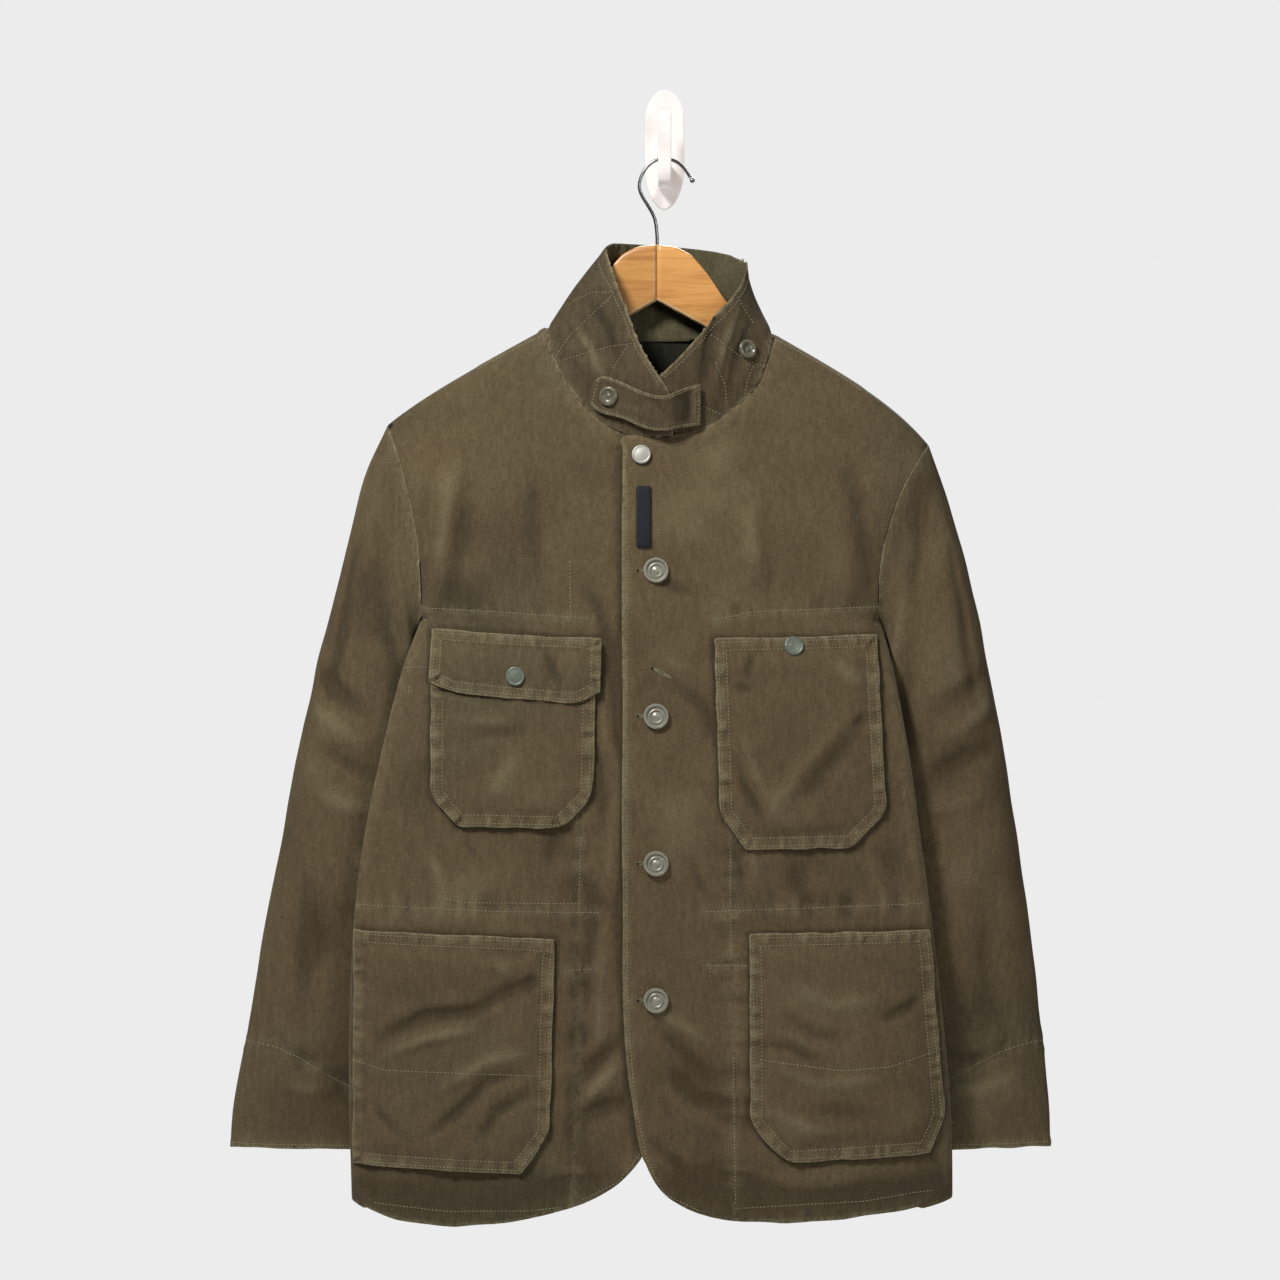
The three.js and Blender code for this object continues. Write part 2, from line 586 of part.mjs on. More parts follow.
// A closed cloth wall on the surface at(u, v), with its edges standing back by the seam gap and its inner
// side further by the bevels, which take the place along the edge and which end it is. "flip" is for a
// surface whose u and v run clockwise seen from the cloth's face.
function clothWall(at, { us, vs, thickness, flip = false, tube = false, gap = SEAM_GAP, uBevel, vBevel }) {
  const step = 1e-4;
  const columns = tube ? us.length - 1 : us.length;
  const layer = (depth) => {
    const back = (bevel, t, end) => gap + (bevel && depth > 0 ? bevel(t, end) : 0);
    const rowEnds = vs.map((v) => {
      if (tube || !gap) return [0, 0];
      return [0, 1].map((end) => setback((t) => at(Math.abs(end - t), v), back(uBevel, v, end)));
    });
    const columnEnds = us.map((u) => {
      if (!gap) return [0, 0];
      return [0, 1].map((end) => setback((t) => at(u, Math.abs(end - t)), back(vBevel, u, end)));
    });
    return vs.flatMap((row, j) =>
      us.slice(0, columns).map((column, i) => {
        const [u, v] = [drawnIn(column, ...rowEnds[j]), drawnIn(row, ...columnEnds[i])];
        const [u0, u1] = tube ? [u - step, u + step] : [Math.max(0, u - step), Math.min(1, u + step)];
        const across = at(u1, v).sub(at(u0, v));
        const along = at(u, Math.min(1, v + step)).sub(at(u, Math.max(0, v - step)));
        const inward = across.cross(along).normalize().multiplyScalar(flip ? 1 : -1);
        return at(u, v).addScaledVector(inward, depth);
      }),
    );
  };
  const outer = layer(0);
  const inner = layer(thickness);
  const faces = [];
  const quad = (a, b, c, d) => faces.push(...(flip ? [a, c, b, a, d, c] : [a, b, c, a, c, d]));
  const out = (i, j) => j * columns + (i % columns);
  const inn = (i, j) => outer.length + out(i, j);
  const [lastU, lastV] = [us.length - 1, vs.length - 1];
  for (let j = 0; j < lastV; j++) {
    for (let i = 0; i < lastU; i++) {
      quad(out(i, j), out(i + 1, j), out(i + 1, j + 1), out(i, j + 1));
      quad(inn(i, j), inn(i, j + 1), inn(i + 1, j + 1), inn(i + 1, j));
    }
  }
  for (let i = 0; i < lastU; i++) {
    quad(out(i, 0), inn(i, 0), inn(i + 1, 0), out(i + 1, 0));
    quad(out(i, lastV), out(i + 1, lastV), inn(i + 1, lastV), inn(i, lastV));
  }
  for (let j = 0; j < lastV && !tube; j++) {
    quad(out(0, j), out(0, j + 1), inn(0, j + 1), inn(0, j));
    quad(out(lastU, j), inn(lastU, j), inn(lastU, j + 1), out(lastU, j + 1));
  }
  return geometryFrom([...outer, ...inner], faces);
}

// A closed solid through rings of equal count, capped with fans.
function loft(rings, flip) {
  const count = rings[0].length;
  const middle = (ring) => ring.reduce((a, p) => a.add(p), new THREE.Vector3()).divideScalar(count);
  const points = [...rings.flat(), middle(rings[0]), middle(rings[rings.length - 1])];
  const last = (rings.length - 1) * count;
  const faces = [];
  const triangle = (a, b, c) => faces.push(...(flip ? [a, c, b] : [a, b, c]));
  for (let k = 0; k < count; k++) {
    const next = (k + 1) % count;
    triangle(points.length - 2, next, k);
    triangle(points.length - 1, last + k, last + next);
    for (let low = 0; low < last; low += count) {
      triangle(low + k, low + next, low + count + next);
      triangle(low + k, low + count + next, low + count + k);
    }
  }
  return geometryFrom(points, faces);
}

const olive = new THREE.MeshStandardMaterial({ color: 0x554a30, roughness: 0.95, metalness: 0 });
const labelBlack = new THREE.MeshStandardMaterial({ color: 0x1b1b22, roughness: 0.8, metalness: 0 });
const horn = new THREE.MeshStandardMaterial({ color: 0x6b6a52, roughness: 0.45, metalness: 0 });
const snapMetal = new THREE.MeshStandardMaterial({ color: 0x74877b, roughness: 0.4, metalness: 0.8 });
const beech = new THREE.MeshStandardMaterial({ color: 0xc98a45, roughness: 0.5, metalness: 0 });
const steel = new THREE.MeshStandardMaterial({ color: 0x8c8c8c, roughness: 0.3, metalness: 1 });
const whitePlastic = new THREE.MeshStandardMaterial({ color: 0xf4efe9, roughness: 0.35, metalness: 0 });

function named(name, geometry, material) {
  const mesh = new THREE.Mesh(geometry, material.clone());
  mesh.name = name;
  return mesh;
}

const halfColumns = [...steps(PANEL_COLUMNS).slice(0, -1), 1 - FOLD_COLUMN, 1];
const PANEL_GRID = {
  us: halfColumns,
  vs: panelRows,
  thickness: CLOTH,
  uBevel: (v, end) => (end ? SIDE_BEVEL : SEAM_BEVEL),
  vBevel: () => SEAM_BEVEL,
};
function rightFront() {
  const wall = clothWall(frontPanel("left", frontPoint), { ...PANEL_GRID, flip: true });
  return named("right_front", wall, olive);
}
function leftFront() {
  return named("left_front", clothWall(frontPanel("right", overPoint), PANEL_GRID), olive);
}
function back() {
  const right = halfColumns.map((u) => (1 + u) / 2);
  const left = right.slice(1).map((u) => 1 - u).reverse();
  const grid = { ...PANEL_GRID, us: [...left, ...right], flip: true, uBevel: () => SIDE_BEVEL };
  return named("back", clothWall(backPanel, grid), olive);
}
function sleeve(name, side) {
  const vs = steps(SLEEVE_ROWS).map((v) => mix(v, v ** 1.6, 0.5));
  const vBevel = (u, end) => (end ? 0 : ARMHOLE_BEVEL);
  const walls = { thickness: CLOTH, tube: true, flip: side === "left", vBevel };
  const front = armholeRows.map((up) => (1 - up) / 2).reverse();
  const back = armholeRows.slice(1).map((up) => (1 + up) / 2);
  const grid = { us: [...front, ...back], vs, ...walls };
  return named(name, clothWall(sleeveSurface(side), grid), olive);
}
function collar() {
  const { leaf, back, start } = COLLAR;
  const halves = NECK_SHARES.slice(1, ROWS.neck).map((t) => t - 0.5 / ROWS.neck);
  const shares = (from) => [from, ...NECK_SHARES, ...halves].filter((t) => t >= from).sort((a, b) => a - b);
  const leftLeaf = shares(start.left).map((t) => (leaf * (t - start.left)) / (1 - start.left));
  const rightShare = (t) => 1 - ((1 - back) * (t - start.right)) / (1 - start.right);
  const rightLeaf = shares(start.right).map(rightShare);
  const behind = steps(12).map((t) => mix(leaf, back, (1 - Math.cos(Math.PI * t)) / 2)).slice(1, -1);
  const grid = { us: [...leftLeaf, ...behind, ...rightLeaf.reverse()], vs: steps(4) };
  const walls = { thickness: COLLAR_CLOTH, flip: true, gap: 0 };
  return named("collar", clothWall(collarSurface, { ...grid, ...walls }), olive);
}
function throatStrap() {
  const us = steps(16).map((u) => u ** 1.2);
  const wall = clothWall(strapSurface, { us, vs: steps(4), thickness: STRAP_CLOTH, gap: 0 });
  return named("throat_strap", wall, olive);
}
function patch(name, surface, values, below = 0) {
  const row = toRow(PATCH_COLUMNS)(values);
  const lift = (ON_PANEL + POCKET_CLOTH) * (below + 1);
  const vs = steps(below ? PATCH_GRID.rows / 2 : PATCH_GRID.rows);
  const grid = { us: steps(PATCH_GRID.columns), vs, thickness: POCKET_CLOTH, gap: 0 };
  return named(name, clothWall(patchSurface(surface, row, lift), grid), olive);
}
function frontLabel() {
  const at = (u, v) => {
    const [x, z] = [LABEL.x + (u - 0.5) * LABEL.wide, LABEL.z + (v - 0.5) * LABEL.long];
    return onPanel(overPoint, x, z, SEATED + LABEL_CLOTH);
  };
  const wall = clothWall(at, { us: steps(1), vs: steps(4), thickness: LABEL_CLOTH, gap: 0 });
  return named("front_label", wall, labelBlack);
}

// Turned shapes, with their flat underside at z = 0
function turned(profile) {
  const points = profile.map(([r, h]) => new THREE.Vector2(r, h));
  return new THREE.LatheGeometry(points, TURNED_SIDES).rotateX(Math.PI / 2);
}
function buttonShape({ radius, height }) {
  return turned([
    [0, 0],
    [radius * 0.9, 0],
    [radius, height * 0.4],
    [radius * 0.94, height],
    [radius * 0.72, height * 0.96],
    [radius * 0.6, height * 0.7],
    [0, height * 0.72],
  ]);
}
function snapShape({ radius, height }) {
  return turned([
    [0, 0],
    [radius, 0],
    [radius * 0.96, height * 0.5],
    [radius * 0.6, height * 0.9],
    [0, height],
  ]);
}
function seated(mesh, at, normal) {
  mesh.position.copy(at);
  mesh.quaternion.setFromUnitVectors(new THREE.Vector3(0, 0, 1), normal);
  return mesh;
}
function seatedOnPanel(mesh, surface, { x, z }, lift = 0) {
  const low = onPanel(surface, x, z, lift + SEATED);
  const normal = onPanel(surface, x, z, lift + SEATED + 1).sub(low).normalize();
  return seated(mesh, low, normal);
}
function seatedOnSurface(mesh, surface, { u, v }, outward) {
  const step = 0.01;
  const across = surface(u + step, v).sub(surface(u - step, v));
  const up = surface(u, v + step).sub(surface(u, v - step));
  const normal = across.cross(up).normalize().multiplyScalar(outward);
  return seated(mesh, surface(u, v).addScaledVector(normal, SEATED), normal);
}
function frontButton(number) {
  const mesh = named(`front_button_${number}`, buttonShape(BUTTON), horn);
  return seatedOnPanel(mesh, overPoint, { x: BUTTON.x, z: BUTTON.z[number - 1] });
}
function neckSnap() {
  return seatedOnPanel(named("neck_snap", snapShape(SNAP), snapMetal), overPoint, NECK_SNAP);
}
function flapSnap() {
  const lift = 2 * (ON_PANEL + POCKET_CLOTH);
  return seatedOnPanel(named("flap_snap", snapShape(SNAP), snapMetal), frontPoint, FLAP_SNAP, lift);
}
function pocketSnap() {
  const lift = ON_PANEL + POCKET_CLOTH;
  return seatedOnPanel(named("pocket_snap", snapShape(SNAP), snapMetal), overPoint, POCKET_SNAP, lift);
}
function strapButton() {
  const mesh = named("strap_button", buttonShape(SMALL_BUTTON), horn);
  return seatedOnSurface(mesh, strapSurface, STRAP_BUTTON, 1);
}
function stowingButton() {
  const mesh = named("stowing_button", buttonShape(SMALL_BUTTON), horn);
  return seatedOnSurface(mesh, collarSurface, STOWING_BUTTON, -1);
}

// One arm of the wooden hanger, lofted from the middle to its end
function hangerArm(name, side) {
  const squared = (value) => Math.sign(value) * Math.abs(value) ** HANGER_SQUARE;
  const rings = HANGER.map(({ x, rise, tall, half }) => {
    const reach = signOf(side) * x;
    const middle = shoulderZ(reach) - HANGER_CLEAR + rise - tall / 2;
    return steps(HANGER_SIDES).slice(1).map((turn) => {
      const y = hangerY(reach) + half * squared(Math.cos(2 * Math.PI * turn));
      return new THREE.Vector3(reach, y, middle + (tall / 2) * squared(Math.sin(2 * Math.PI * turn)));
    });
  });
  return named(name, loft(rings, side === "left"), beech);
}
function wireCurve() {
  const points = WIRE_LINE.map(([x, z]) => new THREE.Vector3(x, HANGER_LINE.centre, z));
  return new THREE.CatmullRomCurve3(points);
}
function hangerWire() {
  const corners = steps(WIRE.sides).slice(1).map((turn) => {
    return new THREE.Vector2(WIRE.radius, 0).rotateAround(new THREE.Vector2(), 2 * Math.PI * turn);
  });
  const options = { steps: WIRE.steps, extrudePath: wireCurve() };
  return named("hanger_wire", new THREE.ExtrudeGeometry(new THREE.Shape(corners), options), steel);
}
function wireTip() {
  const mesh = named("wire_tip", new THREE.SphereGeometry(WIRE.tip, 12, 8), steel);
  const curve = wireCurve();
  mesh.position.copy(curve.getPoint(1)).addScaledVector(curve.getTangent(1), WIRE.tip + WIRE.ends);
  return mesh;
}

function bevelled(depth, bevel, curveSegments) {
  const options = { bevelSize: bevel, bevelThickness: bevel, bevelSegments: 2, curveSegments };
  return { depth: depth - 2 * bevel, ...options };
}
function wallHookPlate() {
  const { half, top, shoulder, waist, tip, thick, bevel } = PLATE;
  const shape = new THREE.Shape();
  shape.moveTo(-half, waist);
  shape.lineTo(-half, shoulder);
  shape.bezierCurveTo(-half, (top + shoulder) / 2, -half / 2, top, 0, top);
  shape.bezierCurveTo(half / 2, top, half, (top + shoulder) / 2, half, shoulder);
  shape.lineTo(half, waist);
  shape.bezierCurveTo(half, mix(waist, tip, 0.5), half / 2, tip, 0, tip);
  shape.bezierCurveTo(-half / 2, tip, -half, mix(waist, tip, 0.5), -half, waist);
  const geometry = new THREE.ExtrudeGeometry(shape, bevelled(thick, bevel, 6));
  geometry.rotateX(Math.PI / 2);
  geometry.translate(0, -bevel, 0);
  return named("wall_hook_plate", geometry, whitePlastic);
}
// The arm's side view, drawn with y from the wall and z, then turned so that its width runs along X
function wallHookArm() {
  const { wide, saddle, floor, front, tongue, tip, bevel } = ARM;
  const root = -PLATE.thick - SEAM_GAP - bevel;
  const seat = saddle - bevel;
  const inside = front + tongue;
  const shape = new THREE.Shape();
  shape.moveTo(root, seat);
  shape.lineTo(root, floor);
  shape.bezierCurveTo(mix(root, front, 0.7), floor, front, floor, front, seat);
  shape.lineTo(front + 1, tip);
  shape.bezierCurveTo(front + 1, tip + 3, inside, tip + 3, inside, tip);
  shape.lineTo(inside, seat + 6);
  shape.bezierCurveTo(inside, seat, inside + 2, seat, inside + 5, seat);
  shape.lineTo(root, seat);
  const geometry = new THREE.ExtrudeGeometry(shape, bevelled(wide, bevel, 5));
  geometry.translate(0, 0, bevel - wide / 2);
  const turn = new THREE.Matrix4().makeBasis(
    new THREE.Vector3(0, 1, 0),
    new THREE.Vector3(0, 0, 1),
    new THREE.Vector3(1, 0, 0),
  );
  return named("wall_hook_arm", geometry.applyMatrix4(turn), whitePlastic);
}

const hung = new THREE.Group();
hung.position.x = HANG_SHIFT;
hung.add(rightFront(), leftFront(), back());
hung.add(sleeve("right_sleeve", "left"), sleeve("left_sleeve", "right"));
hung.add(collar(), throatStrap());
hung.add(patch("right_chest_pocket", frontPoint, RIGHT_CHEST_POCKET));
hung.add(patch("right_chest_flap", frontPoint, RIGHT_CHEST_FLAP, 1));
hung.add(patch("left_chest_pocket", overPoint, LEFT_CHEST_POCKET));
hung.add(patch("right_lower_pocket", frontPoint, RIGHT_LOWER_POCKET));
hung.add(patch("left_lower_pocket", overPoint, LEFT_LOWER_POCKET));
hung.add(frontLabel());
hung.add(frontButton(1), frontButton(2), frontButton(3), frontButton(4));
hung.add(neckSnap(), flapSnap(), pocketSnap(), strapButton(), stowingButton());
hung.add(hangerArm("hanger_right_arm", "left"), hangerArm("hanger_left_arm", "right"));
hung.add(hangerWire(), wireTip());

const part = new THREE.Group();
part.add(hung, wallHookPlate(), wallHookArm());
export default part;
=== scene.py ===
"""A logger jacket of heavy olive cotton on a wooden hanger and a plastic wall hook."""
import math

import bmesh
import bpy
import numpy as np
from bpy.props import FloatProperty, FloatVectorProperty, IntProperty, PointerProperty
from mathutils import Matrix, Vector
from mathutils.bvhtree import BVHTree
from mathutils.kdtree import KDTree


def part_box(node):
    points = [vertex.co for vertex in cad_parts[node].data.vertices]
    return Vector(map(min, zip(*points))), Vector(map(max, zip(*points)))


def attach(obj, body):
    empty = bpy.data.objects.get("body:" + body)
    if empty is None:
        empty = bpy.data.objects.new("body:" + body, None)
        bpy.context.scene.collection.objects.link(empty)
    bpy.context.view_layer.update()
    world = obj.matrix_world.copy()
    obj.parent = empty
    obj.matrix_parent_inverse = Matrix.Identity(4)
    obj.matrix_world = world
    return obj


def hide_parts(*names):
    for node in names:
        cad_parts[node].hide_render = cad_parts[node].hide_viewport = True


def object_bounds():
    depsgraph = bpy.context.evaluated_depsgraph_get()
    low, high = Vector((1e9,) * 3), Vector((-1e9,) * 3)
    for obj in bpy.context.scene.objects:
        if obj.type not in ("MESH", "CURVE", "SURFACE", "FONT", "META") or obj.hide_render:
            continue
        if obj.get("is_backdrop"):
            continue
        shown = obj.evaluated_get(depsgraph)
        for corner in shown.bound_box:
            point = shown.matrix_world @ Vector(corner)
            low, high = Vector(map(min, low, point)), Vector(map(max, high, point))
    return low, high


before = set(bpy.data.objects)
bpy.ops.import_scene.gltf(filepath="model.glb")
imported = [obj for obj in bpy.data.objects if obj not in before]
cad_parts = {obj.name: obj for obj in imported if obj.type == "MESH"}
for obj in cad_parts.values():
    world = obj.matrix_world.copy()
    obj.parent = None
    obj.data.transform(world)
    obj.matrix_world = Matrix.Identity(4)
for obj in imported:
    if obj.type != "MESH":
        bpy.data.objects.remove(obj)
CAD_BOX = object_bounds()

bl_info = {
    "name": "Logger jacket",
    "version": (1, 0, 0),
    "blender": (4, 5, 0),
    "location": "3D View > Sidebar > Jacket",
    "description": "Dresses the packed jacket, its hanger and its wall hook",
    "category": "Object",
}

MM = 0.001
FINISHES = {}  # materials by name
PIECES = {}  # dressed cloths by node

# ---------------------------------------------------------------- sizes and colours


def colour(name, description, value):
    return FloatVectorProperty(
        name=name, description=description, subtype="COLOR", size=3, min=0, max=1, default=value
    )


def length(name, description, millimetres):
    return FloatProperty(name=name, description=description, default=millimetres * MM, min=0, unit="LENGTH")


class JacketCloth(bpy.types.PropertyGroup):
    olive: colour("Olive", "Brown side of the cloth's colour", (0.104, 0.072, 0.034))
    green: colour("Green", "Green side of the cloth's colour", (0.078, 0.066, 0.033))
    # pale colour of rubbed edges, also used for the painted highlight on the ridges
    worn_and_highlight: colour("Worn", "Rubbed edges and ridges", (0.215, 0.180, 0.100))
    # near black: the lining's own dark green, darkened further as painted shade inside the jacket
    lining_in_shade: colour("Lining", "Inner side of the cloth", (0.013, 0.014, 0.008))
    thread: colour("Thread", "Topstitching", (0.270, 0.250, 0.150))
    label: colour("Label", "Woven label, left bare", (0.010, 0.011, 0.016))
    relief: FloatProperty(name="Relief", description="Strength of all creases", default=1.7, min=0, max=3)
    stitch: length("Stitch", "Length of one stitch", 2.5)
    pitch: length("Pitch", "From one stitch to the next", 3.3)
    levels: IntProperty(name="Levels", description="Subdivisions of the cloth", default=3, min=1, max=3)


class JacketHardware(bpy.types.PropertyGroup):
    horn: colour("Horn", "Collar buttons", (0.130, 0.120, 0.078))
    metal: colour("Metal", "Front buttons", (0.260, 0.250, 0.195))
    stud: colour("Stud", "Neck press stud", (0.380, 0.375, 0.330))
    snap: colour("Snap", "Painted press studs", (0.130, 0.148, 0.115))
    steel: colour("Wire", "The hanger's hook", (0.33, 0.33, 0.34))
    plastic: colour("Plastic", "The wall hook", (0.42, 0.388, 0.370))
    beech: colour("Wood", "The hanger's lighter wood", (0.62, 0.30, 0.085))
    grain: colour("Grain", "The hanger's darker wood", (0.46, 0.20, 0.052))


class JacketStage(bpy.types.PropertyGroup):
    paper: colour("Backdrop", "Pale background all round", (0.84, 0.84, 0.84))
    glow: FloatProperty(name="Glow", description="Room light on the jacket", default=0.10, min=0, max=1)
    floor: length("Floor", "Floor below the wall hook", 1750)
    distance: length("Distance", "From the jacket to the camera", 4500)
    width: length("Width", "Width of the view at the jacket", 1152)
    centre: length("Centre", "Middle of the view below the wall hook", 459)
    aside: length("Aside", "Middle of the view to the left of the wall hook", 22.3)



# ---------------------------------------------------------------- shaders


class Term:
    """A shader number: +, - and * on it add Math nodes."""

    def __init__(self, finish, socket):
        self.finish, self.socket = finish, socket

    def math(self, operation, *values):
        node = self.finish.add("ShaderNodeMath", {"operation": operation}, dict(enumerate(values)))
        return Term(self.finish, node.outputs[0])


def operator_method(operation, swapped):
    """The method behind one operator sign of Term, or behind that sign with the Term on its right."""
    return lambda self, other: self.math(operation, *((other, self) if swapped else (self, other)))


for sign, operation in (("add", "ADD"), ("sub", "SUBTRACT"), ("mul", "MULTIPLY")):
    setattr(Term, f"__{sign}__", operator_method(operation, False))
    setattr(Term, f"__r{sign}__", operator_method(operation, True))


class Nodes:
    """A node tree that is filled by one method."""

    def __init__(self, owner):
        owner.use_nodes = True
        self.tree = owner.node_tree
        self.tree.nodes.clear()

    def add(self, kind, settings, sockets):
        node = self.tree.nodes.new(kind)
        for name, value in settings.items():
            setattr(node, name, value)
        for name, value in sockets.items():
            socket = node.inputs[name]
            if isinstance(value, Term):
                value = value.socket
            if isinstance(value, bpy.types.NodeSocket):
                self.tree.links.new(value, socket)
            elif socket.type == "RGBA":
                socket.default_value = (*value, 1)
            else:
                socket.default_value = value
        return node


class Finish(Nodes):
    """A material being made: a Principled shader and the nodes that feed it."""

    def __init__(self, name, **constants):
        self.material = bpy.data.materials.new(name)
        super().__init__(self.material)
        sockets = {key.replace("_", " "): value for key, value in constants.items()}
        self.shader = self.add("ShaderNodeBsdfPrincipled", {}, sockets)
        self.add("ShaderNodeOutputMaterial", {}, {"Surface": self.shader.outputs[0]})

    def feed(self, name, value):
        self.tree.links.new(value.socket if isinstance(value, Term) else value, self.shader.inputs[name])

    def attribute(self, name):
        return Term(self, self.add("ShaderNodeAttribute", {"attribute_name": name}, {}).outputs["Fac"])

    def place(self, scale=(1, 1, 1), turn=(0, 0, 0), uv=None):
        if uv:
            source = self.add("ShaderNodeUVMap", {"uv_map": uv}, {}).outputs[0]
        else:
            source = self.add("ShaderNodeTexCoord", {}, {}).outputs["Object"]
        sockets = {"Vector": source, "Scale": scale, "Rotation": turn}
        return self.add("ShaderNodeMapping", {}, sockets).outputs[0]

    def noise(self, vector, scale, detail=2.0, roughness=0.5, distortion=0.0):
        sockets = dict(Vector=vector, Scale=scale, Detail=detail, Roughness=roughness, Distortion=distortion)
        return Term(self, self.add("ShaderNodeTexNoise", {}, sockets).outputs[0])

    def ramp(self, value, low, high):
        sockets = {"Value": value, "From Min": low, "From Max": high}
        settings = {"interpolation_type": "SMOOTHSTEP"}
        return Term(self, self.add("ShaderNodeMapRange", settings, sockets).outputs[0])

    def blend(self, factor, a, b):
        return self.add("ShaderNodeMix", {"data_type": "RGBA"}, {0: factor, 6: a, 7: b}).outputs[2]

    def darker(self, colour, share):
        return self.blend(share, colour, (0, 0, 0))

    def bump(self, height, distance, strength):
        sockets = {"Height": height, "Distance": distance, "Strength": strength}
        self.feed("Normal", self.add("ShaderNodeBump", {}, sockets).outputs[0])


def tint(share, tone):
    """A colour with all its parts multiplied by a share."""
    return tuple(share * part for part in tone)


def cloth_finish(name, light, dark, worn_and_highlight, inside=False):
    """Heavy cotton: uneven dye, yarns both ways, rubbed edges where "wear" says so, and where "rise" says so
    painted shade in the dents and ridges painted lighter, partly as wear and partly as a painted highlight.
    """
    f = Finish(name, Roughness=0.9, Specular_IOR_Level=0.2, Sheen_Weight=0.05, Sheen_Roughness=0.5)
    space = f.place()
    dye = f.ramp(f.noise(space, 3.2), 0.45, 0.8)
    mottle = f.ramp(f.noise(f.place((230, 230, 48)), 1, 4, 0.7), 0.25, 0.75)
    warp = f.noise(f.place((1500, 120, 1), uv="cloth"), 1, 1)
    weft = f.noise(f.place((120, 1500, 1), uv="cloth"), 1, 1)
    fuzz = f.noise(space, 900, 2, 0.6)
    base = f.blend(dye, light, dark)
    speckle = f.ramp(mottle * 0.25 + fuzz * 0.75, 0.3, 0.75)
    base = f.blend(speckle, f.darker(base, 0.2), f.blend(0.16, base, worn_and_highlight))
    if not inside:
        # painted shade: the dents are darkened by the "rise" attribute; the ridges are lightened towards the
        # worn colour, partly as wear and partly as a painted highlight
        rise = f.attribute("rise")
        base = f.blend(f.ramp(rise, 0.5, 0.1) * 0.75, base, f.darker(base, 0.55))
        base = f.blend(f.ramp(rise, 0.5, 0.95) * 0.4, base, worn_and_highlight)
        rubbed = f.ramp(f.noise(space, 260, 3, 0.7) + mottle * 0.25, 0.35, 0.75)
        base = f.blend(f.attribute("wear") * rubbed, base, worn_and_highlight)
    yarn = warp * 0.5 + weft * 0.5
    base = f.blend(f.ramp(yarn, 0.35, 0.65) * 0.5, base, f.darker(base, 0.6))
    f.feed("Base Color", base)
    f.bump(yarn + fuzz * 0.35, 0.0007, 0.55)
    return f.material


def wandering(name, light, dark, noise, ends=None, stretch=(1, 1, 1), **constants):
    """A material that wanders between two colours, and the factor that it does so by."""
    f = Finish(name, **constants)
    factor = f.noise(f.place(stretch), *noise)
    if ends:
        factor = f.ramp(factor, *ends)
    f.feed("Base Color", f.blend(factor, light, dark))
    return f, factor


def thread_finish(name, value):
    f, _ = wandering(name, value, tint(0.75, value), (240,), Roughness=0.75, Specular_IOR_Level=0.3)
    return f.material


def hole_shade_finish():
    # near black: painted shade seen in the hole
    light, dark = (0.012, 0.011, 0.007), (0.02, 0.018, 0.012)
    f, _ = wandering("buttonhole slit painted shade", light, dark, (300, 1), Roughness=1.0, Specular_IOR_Level=0.0)
    return f.material


def label_finish(value):
    f, ribs = wandering(
        "woven label", value, (0.012, 0.013, 0.018), (1, 1), None, (60, 60, 2600),
        Roughness=0.7, Specular_IOR_Level=0.15,
    )
    f.bump(ribs, 0.0004, 0.5)
    return f.material


def horn_finish(value):
    f, _ = wandering(
        "button horn", value, tint(0.55, value), (110, 4, 0.6, 0.6), (0.3, 0.7), (1, 1, 4),
        Roughness=0.33, Specular_IOR_Level=0.5, Coat_Weight=0.25, Coat_Roughness=0.2,
    )
    f.bump(f.noise(f.place(), 700), 0.0002, 0.25)
    return f.material


def snap_finish(name, value):
    f, chips = wandering(name, value, (0.42, 0.45, 0.42), (420, 4, 0.7), (0.58, 0.72), Metallic=0.45)
    f.feed("Roughness", 0.42 + chips * 0.15)
    return f.material


def wood_finish(name, lean, light, dark):
    """Varnished wood with its grain along the arm, which slopes down by lean."""
    f = Finish(name, Roughness=0.38, Coat_Weight=0.12, Coat_Roughness=0.3)
    bands = f.noise(f.place((3.2, 40, 46), (0, lean, 0)), 1.6, 4, 0.62, 1.2)
    pores = f.noise(f.place((14, 700, 700), (0, lean, 0)), 1, 3, 0.6)
    base = f.blend(f.ramp(bands, 0.38, 0.68), light, dark)
    base = f.blend(f.ramp(pores, 0.52, 0.72) * 0.35, base, f.blend(0.5, dark, (0.1, 0.03, 0.01)))
    f.feed("Base Color", f.blend(f.attribute("border") * 0.6, base, (0.80, 0.58, 0.33)))
    f.bump(pores, 0.0003, 0.3)
    return f.material


def steel_finish(value):
    f, _ = wandering("wire", value, tint(0.65, value), (800,), (0.3, 0.7), Metallic=1.0, Roughness=0.3)
    return f.material


def plastic_glow_finish(value):
    # painted light: the hook glows by its emission, which lifts its shaded parts to a pale pinkish white
    pale = tuple(0.5 * part + 0.5 * white for part, white in zip(value, (1, 0.93, 0.9)))
    f, cloud = wandering(
        "hook plastic with painted glow", value, pale, (30,), Roughness=0.3, Coat_Weight=0.1, Emission_Strength=0.42
    )
    f.feed("Emission Color", f.blend(cloud, value, (1, 0.88, 0.84)))
    return f.material


# ---------------------------------------------------------------- numbers


def smooth(t):
    t = np.clip(t, 0, 1)
    return t * t * (3 - 2 * t)


def bell(away, width):
    """A bump of height 1 that falls off over about that width."""
    return np.exp(-((away / width) ** 2))


